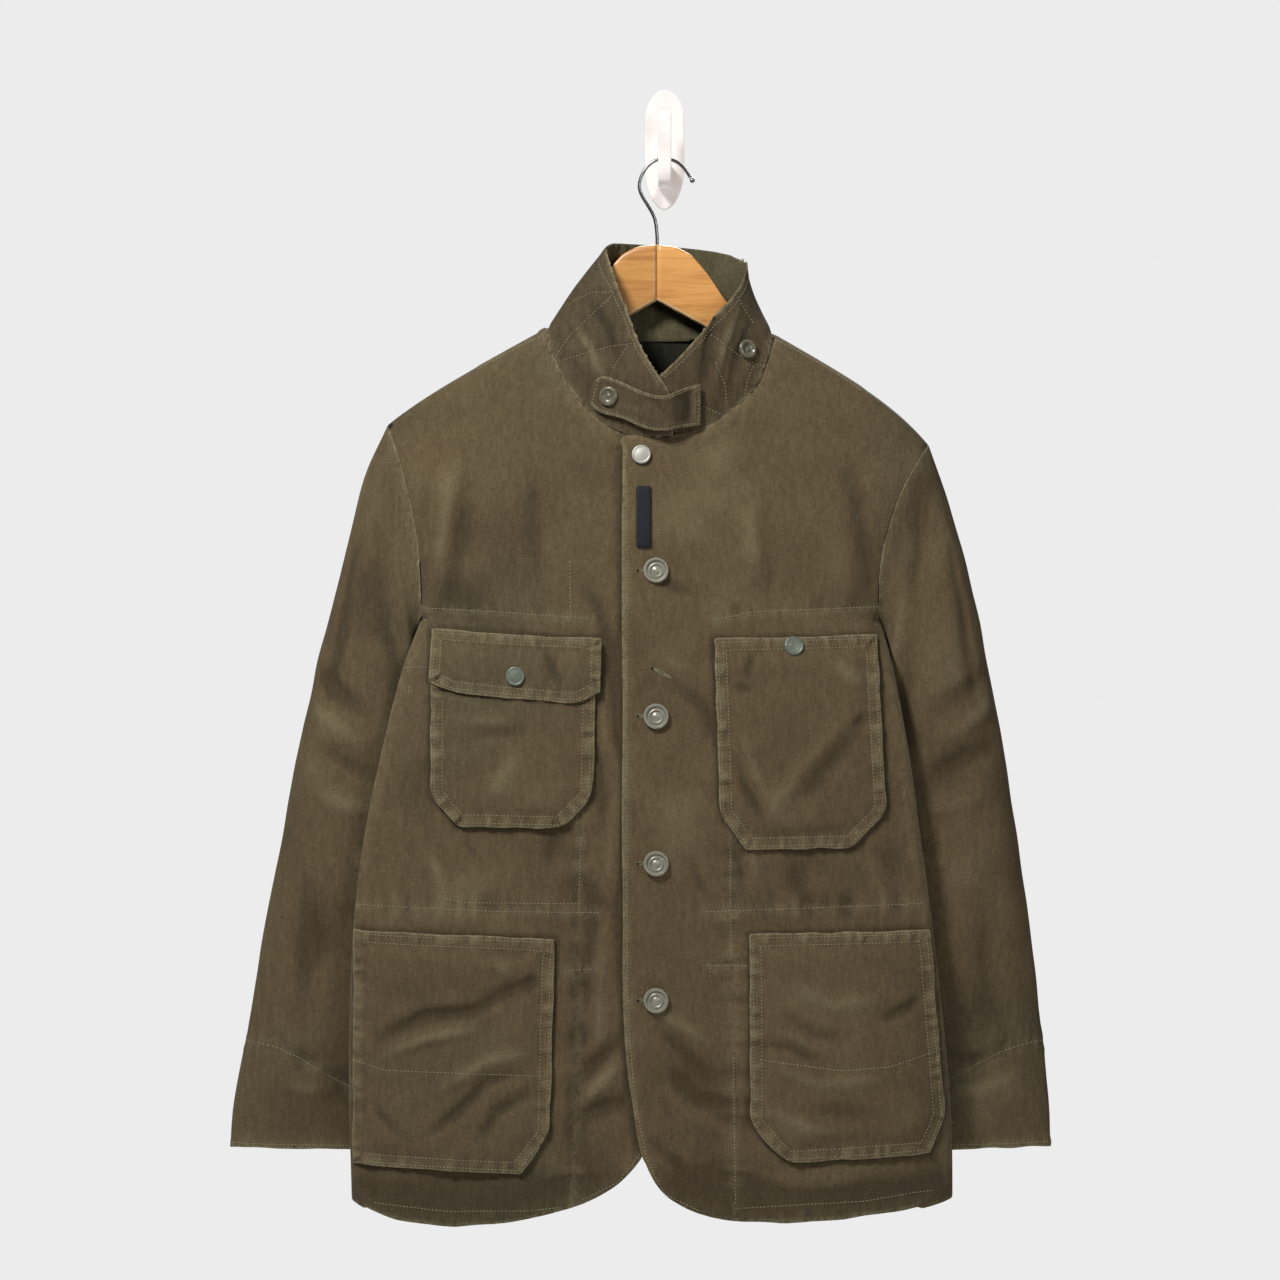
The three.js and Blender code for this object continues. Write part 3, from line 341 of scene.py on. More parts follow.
def rumple(seed, size, a, b):
    """Smooth uneven height from -1 to 1 over two coordinates, in lumps of about that size."""
    lattice = np.random.default_rng(seed).uniform(-1, 1, (64, 64))
    u, v = np.asarray(a) / size + 31.7, np.asarray(b) / size + 17.3
    i, j = np.floor(u).astype(int), np.floor(v).astype(int)
    s, t = smooth(u - i), smooth(v - j)
    corner = lambda di, dj: lattice[(i + di) % 64, (j + dj) % 64]
    low = corner(0, 0) * (1 - s) + corner(1, 0) * s
    return low * (1 - t) + (corner(0, 1) * (1 - s) + corner(1, 1) * s) * t


def waver(seed, wave, along):
    """Uneven waves along a seam, from -1 to 1, about that far from crest to crest."""
    return rumple(seed, wave * 0.55, along, np.zeros_like(along)) * 1.25


def to_line(a, b, points):
    """For points (a, b): distance from a bent line, how far along it is nearest, and its length."""
    best, along, done = np.full(len(a), 1e9), np.zeros(len(a)), 0.0
    for (a0, b0), (a1, b1) in zip(points[:-1], points[1:]):
        run = math.hypot(a1 - a0, b1 - b0)
        t = np.clip(((a - a0) * (a1 - a0) + (b - b0) * (b1 - b0)) / run**2, 0, 1)
        away = np.hypot(a - a0 - t * (a1 - a0), b - b0 - t * (b1 - b0))
        near = away < best
        best[near], along[near] = away[near], (done + t * run)[near]
        done += run
    return best, along, done


def creases(a, b, rows):
    """Soft ridges, or troughs where the rise is negative, with a swell on both sides."""
    height = np.zeros(len(a))
    for wide, rise, *points in rows:
        away, along, whole = to_line(a, b, points)
        taper = np.sin(np.pi * np.clip(along / whole * 0.86 + 0.07, 0, 1)) ** 0.7
        t = away / (0.8 * wide)
        height += rise * taper * (1 - 0.5 * t * t) * np.exp(-t * t * 0.8)
    return height


def gathers(a, b, rows, seed):
    """Puckers square to a seam, and the dent along it."""
    height = np.zeros(len(a))
    for k, (wave, reach, rise, *points) in enumerate(rows):
        away, along, whole = to_line(a, b, points)
        ends = smooth(np.minimum(along, whole - along) / 12 + 0.2)
        height += ends * bell(away, reach) * (rise * waver(seed + k, wave, along))
        height -= ends * 0.5 * bell(away, 2.6)
    return height


# ---------------------------------------------------------------- meshes


WELD = 2e-5  # m, points of a solid that are nearer than this are one
OUTER = 0.25  # how squarely a face has to face outwards to be on a cloth's outer side


def select_only(*objects):
    for o in bpy.context.selected_objects:
        o.select_set(False)
    for o in objects:
        o.select_set(True)
    bpy.context.view_layer.objects.active = objects[0] if objects else None


def coordinates(obj):
    flat = np.empty(len(obj.data.vertices) * 3)
    obj.data.vertices.foreach_get("co", flat)
    return flat.reshape(-1, 3)


def place_points(obj, points):
    obj.data.vertices.foreach_set("co", points.ravel())
    obj.data.update()


def new_object(name, mesh):
    obj = bpy.data.objects.new(name, mesh)
    bpy.context.scene.collection.objects.link(obj)
    return obj


def finished(obj, slot, node, *materials):
    """Gives a piece its materials, and puts it on the body, in the place of its node; its slot is not used.
    """
    for material in materials:
        obj.data.materials.append(material)
    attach(obj, "root")
    if node:
        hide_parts(node)


def smooth_copy(name, node, levels, crease=0.9, sharp=0.9):
    """A node's form as smooth quads, and its sharp edges, each with its larger face's normal."""
    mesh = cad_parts[node].data.copy()
    mesh.name = name
    mesh.materials.clear()
    obj = new_object(name, mesh)
    bm = bmesh.new()
    bm.from_mesh(mesh)
    bmesh.ops.remove_doubles(bm, verts=bm.verts, dist=WELD)
    bmesh.ops.join_triangles(
        bm, faces=bm.faces, angle_face_threshold=math.radians(60), angle_shape_threshold=math.radians(80)
    )
    layer = bm.edges.layers.float.new("crease_edge")
    for edge in bm.edges:
        if len(edge.link_faces) == 2 and edge.calc_face_angle() > sharp:
            edge[layer] = crease
    for face in bm.faces:
        face.smooth = True
    bm.to_mesh(mesh)
    sides = []
    for edge in bm.edges:
        if edge[layer] > 0:
            larger = max(edge.link_faces, key=lambda face: face.calc_area())
            sides.append((edge.verts[0].co.copy(), edge.verts[1].co.copy(), larger.normal.copy()))
    bm.free()
    select_only(obj)
    modifier = obj.modifiers.new("Smooth", "SUBSURF")
    modifier.levels = modifier.render_levels = levels
    bpy.ops.object.modifier_apply(modifier="Smooth")
    return obj, sides


def tree_of(*objects):
    """A search tree over the faces of some pieces."""
    points, faces, start = [], [], 0
    for obj in objects:
        points += [v.co.copy() for v in obj.data.vertices]
        faces += [[start + i for i in p.vertices] for p in obj.data.polygons]
        start = len(points)
    return BVHTree.FromPolygons(points, faces)


def spots_tree(spots):
    """A search tree over points."""
    tree = KDTree(max(1, len(spots)))
    for k, p in enumerate(spots):
        tree.insert(p, k)
    tree.balance()
    return tree


def depth_at(tree, x, z):
    """The y of a front surface at (x, z), seen from in front."""
    hit = tree.ray_cast(Vector((x, -0.4, z)), Vector((0, 1, 0)))[0]
    if hit is None:
        hit = tree.find_nearest(Vector((x, -0.1, z)))[0]
    return hit.y


def loops_of(sides, outward):
    """The outer outline of a cloth wall as ordered loops, from the sharp edges of its mesh."""
    links, places = {}, {}
    for a, b, normal in sides:
        if normal.dot(Vector(outward((a + b) / 2))) < OUTER:
            continue
        ka, kb = (tuple(round(c * 1e5) for c in p) for p in (a, b))
        places[ka], places[kb] = a, b
        links.setdefault(ka, set()).add(kb)
        links.setdefault(kb, set()).add(ka)
    loops = []
    while links:
        start = next(iter(links))
        loop, here = [start], start
        while links.get(here):
            there = links[here].pop()
            links[there].discard(here)
            loop.append(there)
            here = there
        links = {k: v for k, v in links.items() if v}
        if len(loop) > 6:
            loops.append([places[k] for k in loop])
    return loops


def inward_of(surface, p, along, outward):
    """The way from a place on an edge over the cloth, square to the edge."""
    aside = along.cross(Vector(outward(p))).normalized() * 0.004
    away = [surface.find_nearest(p + sign * aside)[3] for sign in (1, -1)]
    return aside.normalized() * (1 if away[0] < away[1] else -1)


SAMPLE = 0.0015  # m between the places along an outline that a cloth's points are measured from
SEAM_BAND = 7  # mm from a sewn edge that follow it when it is drawn to its neighbour
FREE_BAND = 16  # mm from a free edge that follow it where it runs unevenly
RISE_SPAN = 7  # mm from the deepest dent to the highest ridge that the shader tells apart


class Cloth:
    """A cloth wall on its node's form, with its outline and every point's place from the edge."""

    def __init__(self, name, outward, levels):
        self.name, self.outward = name, outward
        self.obj, sides = smooth_copy(name + "_cloth", name, levels)
        self.loops = loops_of(sides, outward)
        self.flat = coordinates(self.obj)
        self.mm = (self.flat * 1000).T
        self.points = self.flat.copy()
        # height in mm over the plain form, with painted shade subtracted from it in places
        self.rise = np.zeros(len(self.flat))
        self.plain = tree_of(self.obj)
        samples, marks, inward = [], [], []
        for loop in self.loops:
            run = 0.0
            for p, q in zip(loop[:-1], loop[1:]):
                step = (q - p).length
                count = max(1, int(step / SAMPLE))
                samples += [p.lerp(q, k / count) for k in range(count)]
                marks += [(run + step * k / count) * 1000 for k in range(count)]
                inward += [inward_of(self.plain, (p + q) / 2, q - p, outward)] * count
                run += step
        tree = spots_tree(samples)
        found = [tree.find(p) for p in self.flat]
        self.edge = np.array([f[2] for f in found]) * 1000
        self.along = np.array([marks[f[1]] for f in found])
        self.inward = np.array([inward[f[1]] for f in found])
        self.edge_mm = (np.array([f[0] for f in found]) * 1000).T

    def near_seam(self):
        """1 at the outline, 0 beyond the band of a seam."""
        return 1 - smooth(self.edge / SEAM_BAND)

    def reach_out(self, where, reach=0.5):
        """Draws the sewn edges out over the seam gap, so that no light shows through a seam."""
        self.points -= self.inward * (self.near_seam() * where * reach * MM)[:, None]

    def lift(self, height):
        """Moves every point outwards by a height in millimetres."""
        outward = np.array([self.outward(p) for p in self.points])
        self.points += outward * (height * MM)[:, None]
        self.rise += height

    def hem(self, wave, rise, reach, band, seed, where=1.0):
        """The double cloth along an edge, its puckers, and the dents of its stitch rows."""
        d = self.edge
        height = band * (1 - smooth((d - reach) / 3.5))
        height = height + rise * waver(seed, wave, self.along) * bell(d - reach * 0.55, reach * 0.7)
        return (height - 0.3 * bell(d - reach - 1, 2.2)) * where

    def uneven(self, where, rise, wave, seed):
        """Lets a free edge run a little unevenly, as a washed hem does."""
        share = (1 - smooth(self.edge / FREE_BAND)) * where
        self.points -= self.inward * (share * rise * waver(seed, wave, self.along) * MM)[:, None]

    def dress(self, materials, wear, uv=None, girth=None, slot="olive_cloth"):
        """Sets the cloth's points, its materials outside and inside, its map in metres, wear and rise."""
        place_points(self.obj, self.points)
        self.tree = tree_of(self.obj)
        mesh = self.obj.data
        index = np.empty(len(mesh.loops), int)
        mesh.loops.foreach_get("vertex_index", index)
        places = (self.flat[:, (0, 2)] if uv is None else uv)[index]
        if girth:
            first = np.repeat(places[::4, 0], 4)[: len(places)]
            places[:, 0] += girth * np.round((first - places[:, 0]) / girth)
        mesh.uv_layers.new(name="cloth").data.foreach_set("uv", places.ravel())
        # the "rise" attribute: height and painted shade together, which the shader paints as shade and
        # highlight
        for name, values in (("wear", wear), ("rise", 0.5 + self.rise / RISE_SPAN)):
            mesh.attributes.new(name, "FLOAT", "POINT").data.foreach_set("value", np.clip(values, 0, 1))
        finished(self.obj, slot, self.name, *materials)
        if len(materials) > 1:
            for polygon in mesh.polygons:
                facing = polygon.normal.dot(Vector(self.outward(polygon.center)))
                polygon.material_index = int(facing < -0.2)
        PIECES[self.name] = self


# ---------------------------------------------------------------- the jacket's own creases, mm


FORWARD = lambda p: (0.0, -1.0, 0.0)
BACKWARD = lambda p: (0.0, 1.0, 0.0)
ANYWHERE = lambda p: True
NECK = (-7, -42)  # mm, x and y of the neck's middle
NECK_RADIUS = 70  # mm

# wide, rise, then the points of each crease as (x, z)
FRONT_CREASES = [
    (9, -1.6, (-81, -400), (-58, -432), (-47, -477), (-40, -549)),
    (7, 1.0, (-55, -520), (-52, -560)),
    (8, -1.1, (-95, -631), (-108, -661)),
    (8, 1.2, (-222, -631), (-203, -663), (-198, -690)),
    (7, -1.0, (-178, -634), (-165, -663)),
    (9, -1.2, (-62, -560), (-52, -600), (-58, -640)),
    (10, 1.3, (-45, -560), (-44, -620), (-50, -690)),
    (14, -1.6, (-65, -700), (-72, -760), (-76, -830), (-82, -900)),
    (10, 1.2, (-52, -700), (-58, -770), (-62, -820)),
    (10, -2.2, (-40, -812), (-62, -838), (-82, -858)),
    (10, 1.8, (-38, -835), (-60, -858), (-80, -880)),
    (12, -2.0, (-32, -868), (-60, -878), (-84, -890)),
    (10, -1.2, (-240, -925), (-205, -938), (-160, -940), (-120, -932)),
    (9, 1.3, (-225, -912), (-190, -926), (-150, -927)),
    (9, -1.3, (62, -637), (67, -678)),
    (9, 1.0, (78, -640), (84, -690)),
    (12, -1.2, (115, -660), (125, -700)),
    (12, 1.0, (180, -640), (196, -700)),
    (9, -1.1, (10, -500), (36, -520), (52, -560)),
    (9, 0.9, (-10, -470), (20, -486), (48, -490)),
    (10, -1.2, (-20, -390), (10, -415), (40, -420)),
    (9, -1.3, (-14, -800), (14, -822), (40, -850)),
    (9, 1.1, (-5, -790), (25, -808), (52, -826)),
    (9, -1.5, (8, -845), (26, -868), (54, -872)),
    (9, 1.3, (0, -862), (24, -886), (56, -894)),
    (8, -1.2, (-12, -905), (10, -925), (30, -950)),
    (9, -1.4, (20, -655), (40, -690)),
    (10, 1.2, (80, -935), (120, -944), (170, -940)),
    (9, -1.3, (120, -930), (160, -922), (205, -926)),
    (16, 1.6, (-190, -300), (-196, -360), (-205, -420)),
    (13, -1.5, (-176, -320), (-186, -380), (-196, -430)),
    (14, -1.4, (165, -310), (176, -370), (184, -430)),
    (12, -0.9, (-120, -300), (-118, -360), (-112, -410)),
    (12, 0.9, (75, -330), (80, -400)),
    (10, -0.8, (93, -350), (95, -425)),
]
# wave, reach, rise, then the seam's points
FRONT_SEAMS = [
    (11, 9, 0.7, (-222, -430), (-148, -434), (-66, -440)),
    (11, 9, 0.7, (43, -441), (79, -434), (195, -429)),
    (12, 11, 1.1, (-277, -695), (-239, -697), (-58, -702)),
    (12, 11, 1.1, (36, -701), (156, -697), (232, -694)),
    (12, 12, 1.3, (58, -560), (59, -700), (62, -850), (63, -967)),
    (13, 11, 1.0, (-75, -560), (-76, -700), (-78, -850), (-82, -963)),
    (11, 8, 0.5, (-90, -754), (-62, -752)),
    (11, 8, 0.5, (37, -749), (75, -749)),
]
CHEST_CREASES = [
    (8, -1.8, (-108, -463), (-100, -484), (-92, -505)),
    (8, -1.1, (-200, -478), (-188, -500), (-160, -508)),
    (9, 0.9, (-190, -530), (-140, -533)),
    (8, -0.9, (-170, -545), (-120, -541)),
    (12, 1.0, (-155, -600), (-130, -560)),
    (8, -1.5, (60, -554), (71, -590), (90, -625)),
    (8, 1.0, (72, -548), (84, -585), (100, -612)),
    (12, -1.2, (175, -535), (139, -578), (114, -612)),
    (11, 1.0, (160, -530), (122, -575), (95, -610)),
    (6, -1.1, (79, -466), (73, -494)),
    (6, -1.0, (60, -500), (78, -504)),
    (7, -1.2, (187, -523), (168, -536)),
    (12, 1.2, (150, -480), (180, -500)),
    (8, -1.3, (70, -634), (110, -637), (160, -630)),
]
LOWER_CREASES = [
    (9, -2.0, (-255, -815), (-215, -795), (-170, -790), (-140, -772)),
    (8, 1.5, (-250, -830), (-215, -815), (-170, -806)),
    (9, -1.7, (-140, -772), (-115, -764), (-100, -765)),
    (9, 1.3, (-150, -745), (-138, -760)),
    (9, -1.2, (-165, -740), (-125, -738)),
    (8, -1.6, (-215, -905), (-185, -880), (-160, -855), (-130, -845)),
    (9, -1.6, (-165, -905), (-150, -880), (-118, -862)),
    (9, 1.4, (-200, -860), (-160, -836), (-130, -828)),
    (8, -1.3, (-262, -870), (-245, -895), (-225, -908)),
    (8, -1.4, (85, -820), (110, -822), (140, -838)),
    (9, -1.5, (110, -795), (135, -812), (160, -815)),
    (8, -1.4, (190, -800), (215, -788), (235, -775)),
    (9, 0.8, (120, -770), (150, -785), (190, -780)),
    (9, 0.8, (90, -840), (140, -856), (200, -850)),
    (9, -0.8, (120, -880), (160, -878), (200, -886)),
    (9, 0.8, (95, -880), (130, -896), (170, -900)),
]
BACK_CREASES = [
    (22, 2.2, (-150, -420), (-120, -520), (-105, -640)),
    (20, -1.8, (-110, -400), (-80, -520), (-72, -620)),
    (20, 2.0, (110, -430), (80, -560), (78, -660)),
    (18, -1.7, (70, -380), (52, -500), (40, -600)),
    (24, 1.8, (-30, -640), (-20, -760), (-34, -900)),
    (20, -1.6, (30, -700), (40, -820), (36, -940)),
    (14, -1.2, (-130, -300), (-60, -312), (10, -306)),
    (14, 1.1, (20, -280), (80, -300), (130, -330)),
    (12, -1.2, (-90, -880), (-60, -930)),
    (12, 1.2, (90, -860), (110, -930)),
]
# the same on a sleeve: the way round from its front in degrees times 0.96, and the way down it
SLEEVE_CREASES = [
    (12, -1.6, (60, 225), (30, 240), (0, 262)),
    (11, 1.4, (64, 250), (34, 268), (4, 286)),
    (12, -1.5, (58, 290), (26, 300), (-8, 320)),
    (12, 1.2, (40, 330), (10, 345), (-20, 352)),
    (13, -1.2, (-10, 180), (-24, 240), (-30, 300)),
    (16, -1.3, (30, 420), (24, 480), (28, 540)),
    (14, 1.1, (-20, 400), (-28, 470), (-18, 530)),
    (10, -1.2, (50, 560), (20, 576), (-12, 570)),
    (9, 1.0, (46, 590), (16, 604), (-20, 600)),
    (16, -1.4, (150, 200), (170, 280), (160, 360)),
    (14, 1.2, (-110, 240), (-126, 330), (-120, 420)),
    (12, -1.0, (120, 430), (150, 470), (170, 480)),
    (13, -2.4, (-46, 20), (-44, 110), (-56, 240)),
    (12, 1.6, (-22, 30), (-20, 120), (-34, 230)),
    (12, -1.7, (-62, 240), (-58, 360), (-50, 470)),
    (10, 1.2, (-40, 300), (-36, 380), (-30, 450)),
    (11, -1.3, (40, 120), (30, 190), (36, 250)),
    (9, -1.5, (-60, 360), (-34, 372), (-12, 380)),
    (9, 1.3, (-60, 376), (-32, 390), (-8, 396)),
    (9, -1.2, (-56, 420), (-30, 432), (-6, 440)),
]
COLLAR_CREASES = [
    (7, -1.6, (52, -150), (40, -195), (34, -232)),
    (6, 1.3, (66, -158), (52, -196), (44, -230)),
    (6, -1.3, (80, -170), (66, -205), (58, -238)),
    (7, -1.3, (-70, -150), (-52, -180), (-40, -215)),
    (6, 1.2, (-84, -170), (-66, -196), (-54, -226)),
    (7, -1.0, (-98, -190), (-80, -212), (-66, -236)),
]
COLLAR_QUILTING = [
    [(-84, -153), (-64, -145), (-45, -146)],
    [(-47, -148), (-68, -168), (-85, -184), (-100, -205)],
    [(-99, -209), (-68, -200), (-48, -195), (-27, -193)],
    [(-33, -194), (-48, -218)],
    [(65, -149), (81, -175)],
    [(41, -184), (65, -202), (83, -211)],
    [(45, -209), (54, -230), (56, -249)],
    [(84, -203), (74, -226), (72, -240)],
    [(82, -211), (98, -212)],
    [(33, -249), (54, -258)],
]
STRAP_CREASES = [
    (5, -1.1, (20, -232), (22, -252), (19, -270)),
    (4, 0.8, (27, -230), (28, -268)),
    (6, -0.8, (-20, -236), (-6, -250), (2, -262)),
    (6, 0.6, (-45, -248), (-20, -255)),
]


SIDE_PULL = 0.9  # mm that each side seam's edge moves
SHOULDER_PULL = 9  # mm that the back's neck corners move


def front_relief(x, z):
    """Height of both fronts in mm over their plain form."""
    height = 0.8 * rumple(3, 95, x, z) + 0.6 * rumple(5, 38, x, z) + 0.25 * rumple(7, 15, x * 0.7, z)
    return height + creases(x, z, FRONT_CREASES) + gathers(x, z, FRONT_SEAMS, 40)


def under_patches(x, z):
    """Share of a front's own relief that stays where a pocket covers it."""
    share = np.ones(len(x))
    for node in ("right_chest_pocket", "left_chest_pocket", "right_lower_pocket", "left_lower_pocket"):
        low, high = (np.array(corner) * 1000 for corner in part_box(node))
        inside = np.minimum(np.minimum(x - low[0], high[0] - x), np.minimum(z - low[2], high[2] - z))
        share = np.minimum(share, 1 - 0.8 * smooth((inside + 4) / 14))
    return share


def close_sides(cloth, way):
    """Draws the side seam's edge forwards or backwards to the panel that it is sewn to."""
    x, _, z = cloth.edge_mm
    side = (np.abs(x + 20) > 245) & (z < -440)
    cloth.points[:, 1] += way * SIDE_PULL * MM * side * cloth.near_seam()


def close_shoulders(cloth):
    """Draws the neck ends of the back's shoulder seams forwards to the fronts."""
    x, _, z = cloth.edge_mm
    aside = np.abs(x - NECK[0])
    corner = smooth((137 - aside) / 45) * smooth((aside - 75) / 18) * (z > -210)
    cloth.points[:, 1] -= SHOULDER_PULL * MM * corner * (1 - smooth(cloth.edge / 20))


def tuck(cloth):
    """Runs a panel's neck edge in under the collar."""
    x, _, z = cloth.edge_mm
    neck = (np.abs(x - NECK[0]) < 106) & (z > -284)
    cloth.lift(-0.9 * neck * cloth.near_seam())
    cloth.reach_out(neck, 1.3)


# where each front's edge is free, as (x, z) in mm
FREE_EDGES = {
    "right_front": lambda x, z: ((z < -925) & (x > -270)) | ((x > -90) & (z < -300)),
    "left_front": lambda x, z: ((z < -925) & (x < 230)) | ((x < 60) & (z < -285)),
}


class JACKET_OT_fronts(bpy.types.Operator):
    """Both fronts. Their creases die out at the sewn edges and run over the free ones"""

    bl_idname = "jacket.fronts"
    bl_label = "Fronts"

    def execute(self, context):
        settings = context.scene.jacket_cloth
        for name, free in FREE_EDGES.items():
            cloth = Cloth(name, FORWARD, settings.levels)
            x, _, z = cloth.mm
            loose = free(cloth.edge_mm[0], cloth.edge_mm[2])
            hem = cloth.edge_mm[2] < -925
            hold = np.where(loose, 1.0, smooth((cloth.edge - 3) / 26))
            cloth.lift(settings.relief * front_relief(x, z) * hold * under_patches(x, z))
            cloth.lift(cloth.hem(9, 1.5, 11, 0.8, 11, hem & loose))
            cloth.lift(cloth.hem(12, 0.9, 8, 0.6, 12, ~hem & loose))
            cloth.lift(cloth.hem(13, 0.45, 10, 0.45, 13, ~loose) * smooth(cloth.edge / 3))
            cloth.reach_out(~loose)
            close_sides(cloth, 1)
            tuck(cloth)
            cloth.uneven(hem & loose, 1.5, 44, 15)
            cloth.uneven(~hem & loose, 0.5, 60, 16)
            # painted shade: the cloth is painted darker towards the hem
            cloth.rise -= 4.2 * smooth((-915 - z) / 50)
            wear = bell(cloth.edge, 1.3) * np.where(loose, 1.0, 0.5) + 0.15 * bell(cloth.edge, 9)
            for _, _, _, *seam in FRONT_SEAMS:
                wear = wear + 0.28 * bell(to_line(x, z, seam)[0], 4)
            cloth.dress((FINISHES["olive"], FINISHES["lining_in_shade"]), wear)
        return {"FINISHED"}


class JACKET_OT_back(bpy.types.Operator):
    """The back panel, plainly finished, with soft hanging folds"""

    bl_idname = "jacket.back"
    bl_label = "Back"

    def execute(self, context):
        settings = context.scene.jacket_cloth
        cloth = Cloth("back", BACKWARD, settings.levels)
        x, _, z = cloth.mm
        hem = (cloth.edge_mm[2] < -940) & (np.abs(cloth.edge_mm[0] + 12) < 240)
        hold = np.where(hem, 1.0, smooth((cloth.edge - 3) / 30))
        height = 0.9 * rumple(23, 100, x, z) + 0.5 * rumple(25, 36, x, z) + creases(x, z, BACK_CREASES)
        cloth.lift(np.minimum(settings.relief * height * hold, 3.4))
        cloth.lift(cloth.hem(10, 0.8, 11, 0.6, 21, hem))
        cloth.lift(cloth.hem(13, 0.25, 9, 0.3, 22, ~hem) * smooth(cloth.edge / 3))
        cloth.reach_out(~hem)
        close_sides(cloth, -1)
        close_shoulders(cloth)
        tuck(cloth)
        cloth.uneven(hem, 1.4, 44, 26)
        # painted shade: the cloth is painted darker towards the hem
        cloth.rise -= 2.2 * smooth((-925 - z) / 45)
        wear = bell(cloth.edge, 1.4) * 0.8 + 0.15 * bell(cloth.edge, 9)
        cloth.dress((FINISHES["olive"], FINISHES["lining_in_shade"]), wear)
        return {"FINISHED"}


SLEEVES = {"right_sleeve": -1, "left_sleeve": 1}
ARMHOLE = -0.262  # m, the height that a sleeve's length is measured from
CUFF_SEAM = (585, 26)  # mm down the sleeve, and how far it rises and falls round it
GIRTH = 0.3456  # m, the map's way once round a sleeve


def sleeve_axis(node):
    """A sleeve's middle x and y by height, from its solid."""
    points = np.array([v.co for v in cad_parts[node].data.vertices])
    heights = np.linspace(-0.9, -0.3, 25)
    middles = []
    for height in heights:
        band = points[np.abs(points[:, 2] - height) < 0.03]
        middles.append([(band[:, k].min() + band[:, k].max()) / 2 for k in (0, 1)])
    middles = np.array(middles)
    return lambda z: np.array([np.interp(z, heights, middles[:, k]) for k in (0, 1)])


def away_from(p, middle, flatness=1.0):
    """The level way out from a middle (x, y) to a point, for a form that is flatter than round."""
    direction = np.array([(p[0] - middle[0]) * flatness, p[1] - middle[1], 0.0])
    return direction / (np.linalg.norm(direction) + 1e-9)


class JACKET_OT_sleeves(bpy.types.Operator):
    """Both sleeves, set in at the armholes, with their elbow creases and cuffs"""

    bl_idname = "jacket.sleeves"
    bl_label = "Sleeves"

    def execute(self, context):
        settings = context.scene.jacket_cloth
        for name, side in SLEEVES.items():
            axis = sleeve_axis(name)
            cloth = Cloth(name, lambda p, axis=axis: away_from(p, axis(p[2]), 0.5), settings.levels)
            middle = axis(cloth.flat[:, 2])
            dx, dy = (cloth.flat[:, 0] - middle[0]) * side, cloth.flat[:, 1] - middle[1]
            turn = np.degrees(np.arctan2(dx * 0.45, -dy))
            around, down = turn * 0.96, (ARMHOLE - cloth.flat[:, 2]) * 1000
            cuff = cloth.edge_mm[2] < -900
            hold = np.where(cuff, 1.0, smooth((cloth.edge - 4) / 30))
            height = 0.9 * rumple(31 + side, 80, around, down) + 0.5 * rumple(35 + side, 32, around, down)
            height = height + creases(around, down, SLEEVE_CREASES)
            line = down - CUFF_SEAM[0] + CUFF_SEAM[1] * np.clip(dx / 0.05, -1, 1)
            height = height + 0.7 * waver(61 + side, 12, around) * bell(np.abs(line) - 4, 8)
            height = height - 0.5 * bell(line, 3)
            cloth.lift(settings.relief * height * hold)
            cloth.lift(cloth.hem(10, 0.5, 7, 0.5, 33 + side, cuff))
            cloth.reach_out(~cuff)
            cloth.uneven(cuff, 0.9, 34, 38 + side)
            wear = bell(cloth.edge, 1.8) * 0.8 + 0.25 * bell(cloth.edge, 10)
            wear = wear + 0.25 * bell(line, 4) + 0.10 * smooth((np.abs(turn) - 60) / 40)
            uv = np.column_stack([around, down]) * MM
            cloth.dress((FINISHES["olive"], FINISHES["lining_in_shade"]), wear, uv, GIRTH)
        return {"FINISHED"}


class JACKET_OT_collar(bpy.types.Operator):
    """The stand-up collar with its quilted leaves, and the throat strap"""

    bl_idname = "jacket.collar"
    bl_label = "Collar and strap"

    def execute(self, context):
        settings = context.scene.jacket_cloth
        middle = tuple(part * MM for part in NECK)
        cloth = Cloth("collar", lambda p: away_from(p, middle), settings.levels)
        x, y, z = cloth.mm
        front = (y < -30).astype(float)
        height = 0.9 * rumple(51, 40, x + y, z) + 0.45 * rumple(52, 16, x - y, z)
        height = height + 1.9 * front * creases(x, z, COLLAR_CREASES)
        for line in COLLAR_QUILTING:
            away, _, _ = to_line(x, z, line)
            height = height - front * 0.9 * bell(away, 3.4) + front * 0.4 * bell(away, 11)
        tilt = np.arctan2(x - NECK[0], NECK[1] - y)
        ribs = waver(54, 8, tilt * NECK_RADIUS) * 1.3 * (1 - front)
        low = cloth.edge_mm[2] < z - 0.2
        cloth.lift((height + ribs) * np.where(low, smooth((cloth.edge - 1) / 10), 1.0))
        cloth.lift(cloth.hem(17, 0.2, 6, 0.4, 55, 1.0 - low * smooth((60 - cloth.edge) / 60) * 0.6))
        cloth.reach_out(low * (1 + 1.6 * smooth((y + 52) / 20)), 1.0)
        wear = bell(cloth.edge, 1.5) * 0.9 + 0.15 * bell(cloth.edge, 7)
        uv = np.column_stack([tilt * NECK_RADIUS, z]) * MM
        cloth.dress((FINISHES["collar olive"], FINISHES["inner collar"]), wear, uv)

        strap = Cloth("throat_strap", FORWARD, settings.levels)
        x, _, z = strap.mm
        height = 0.35 * rumple(57, 22, x, z) + creases(x, z, STRAP_CREASES)
        strap.lift(height * 1.5 * smooth(strap.edge / 5) + strap.hem(9, 0.5, 4, 0.6, 58))
        strap.dress((FINISHES["collar olive"],), bell(strap.edge, 1.5) + 0.05)
        return {"FINISHED"}


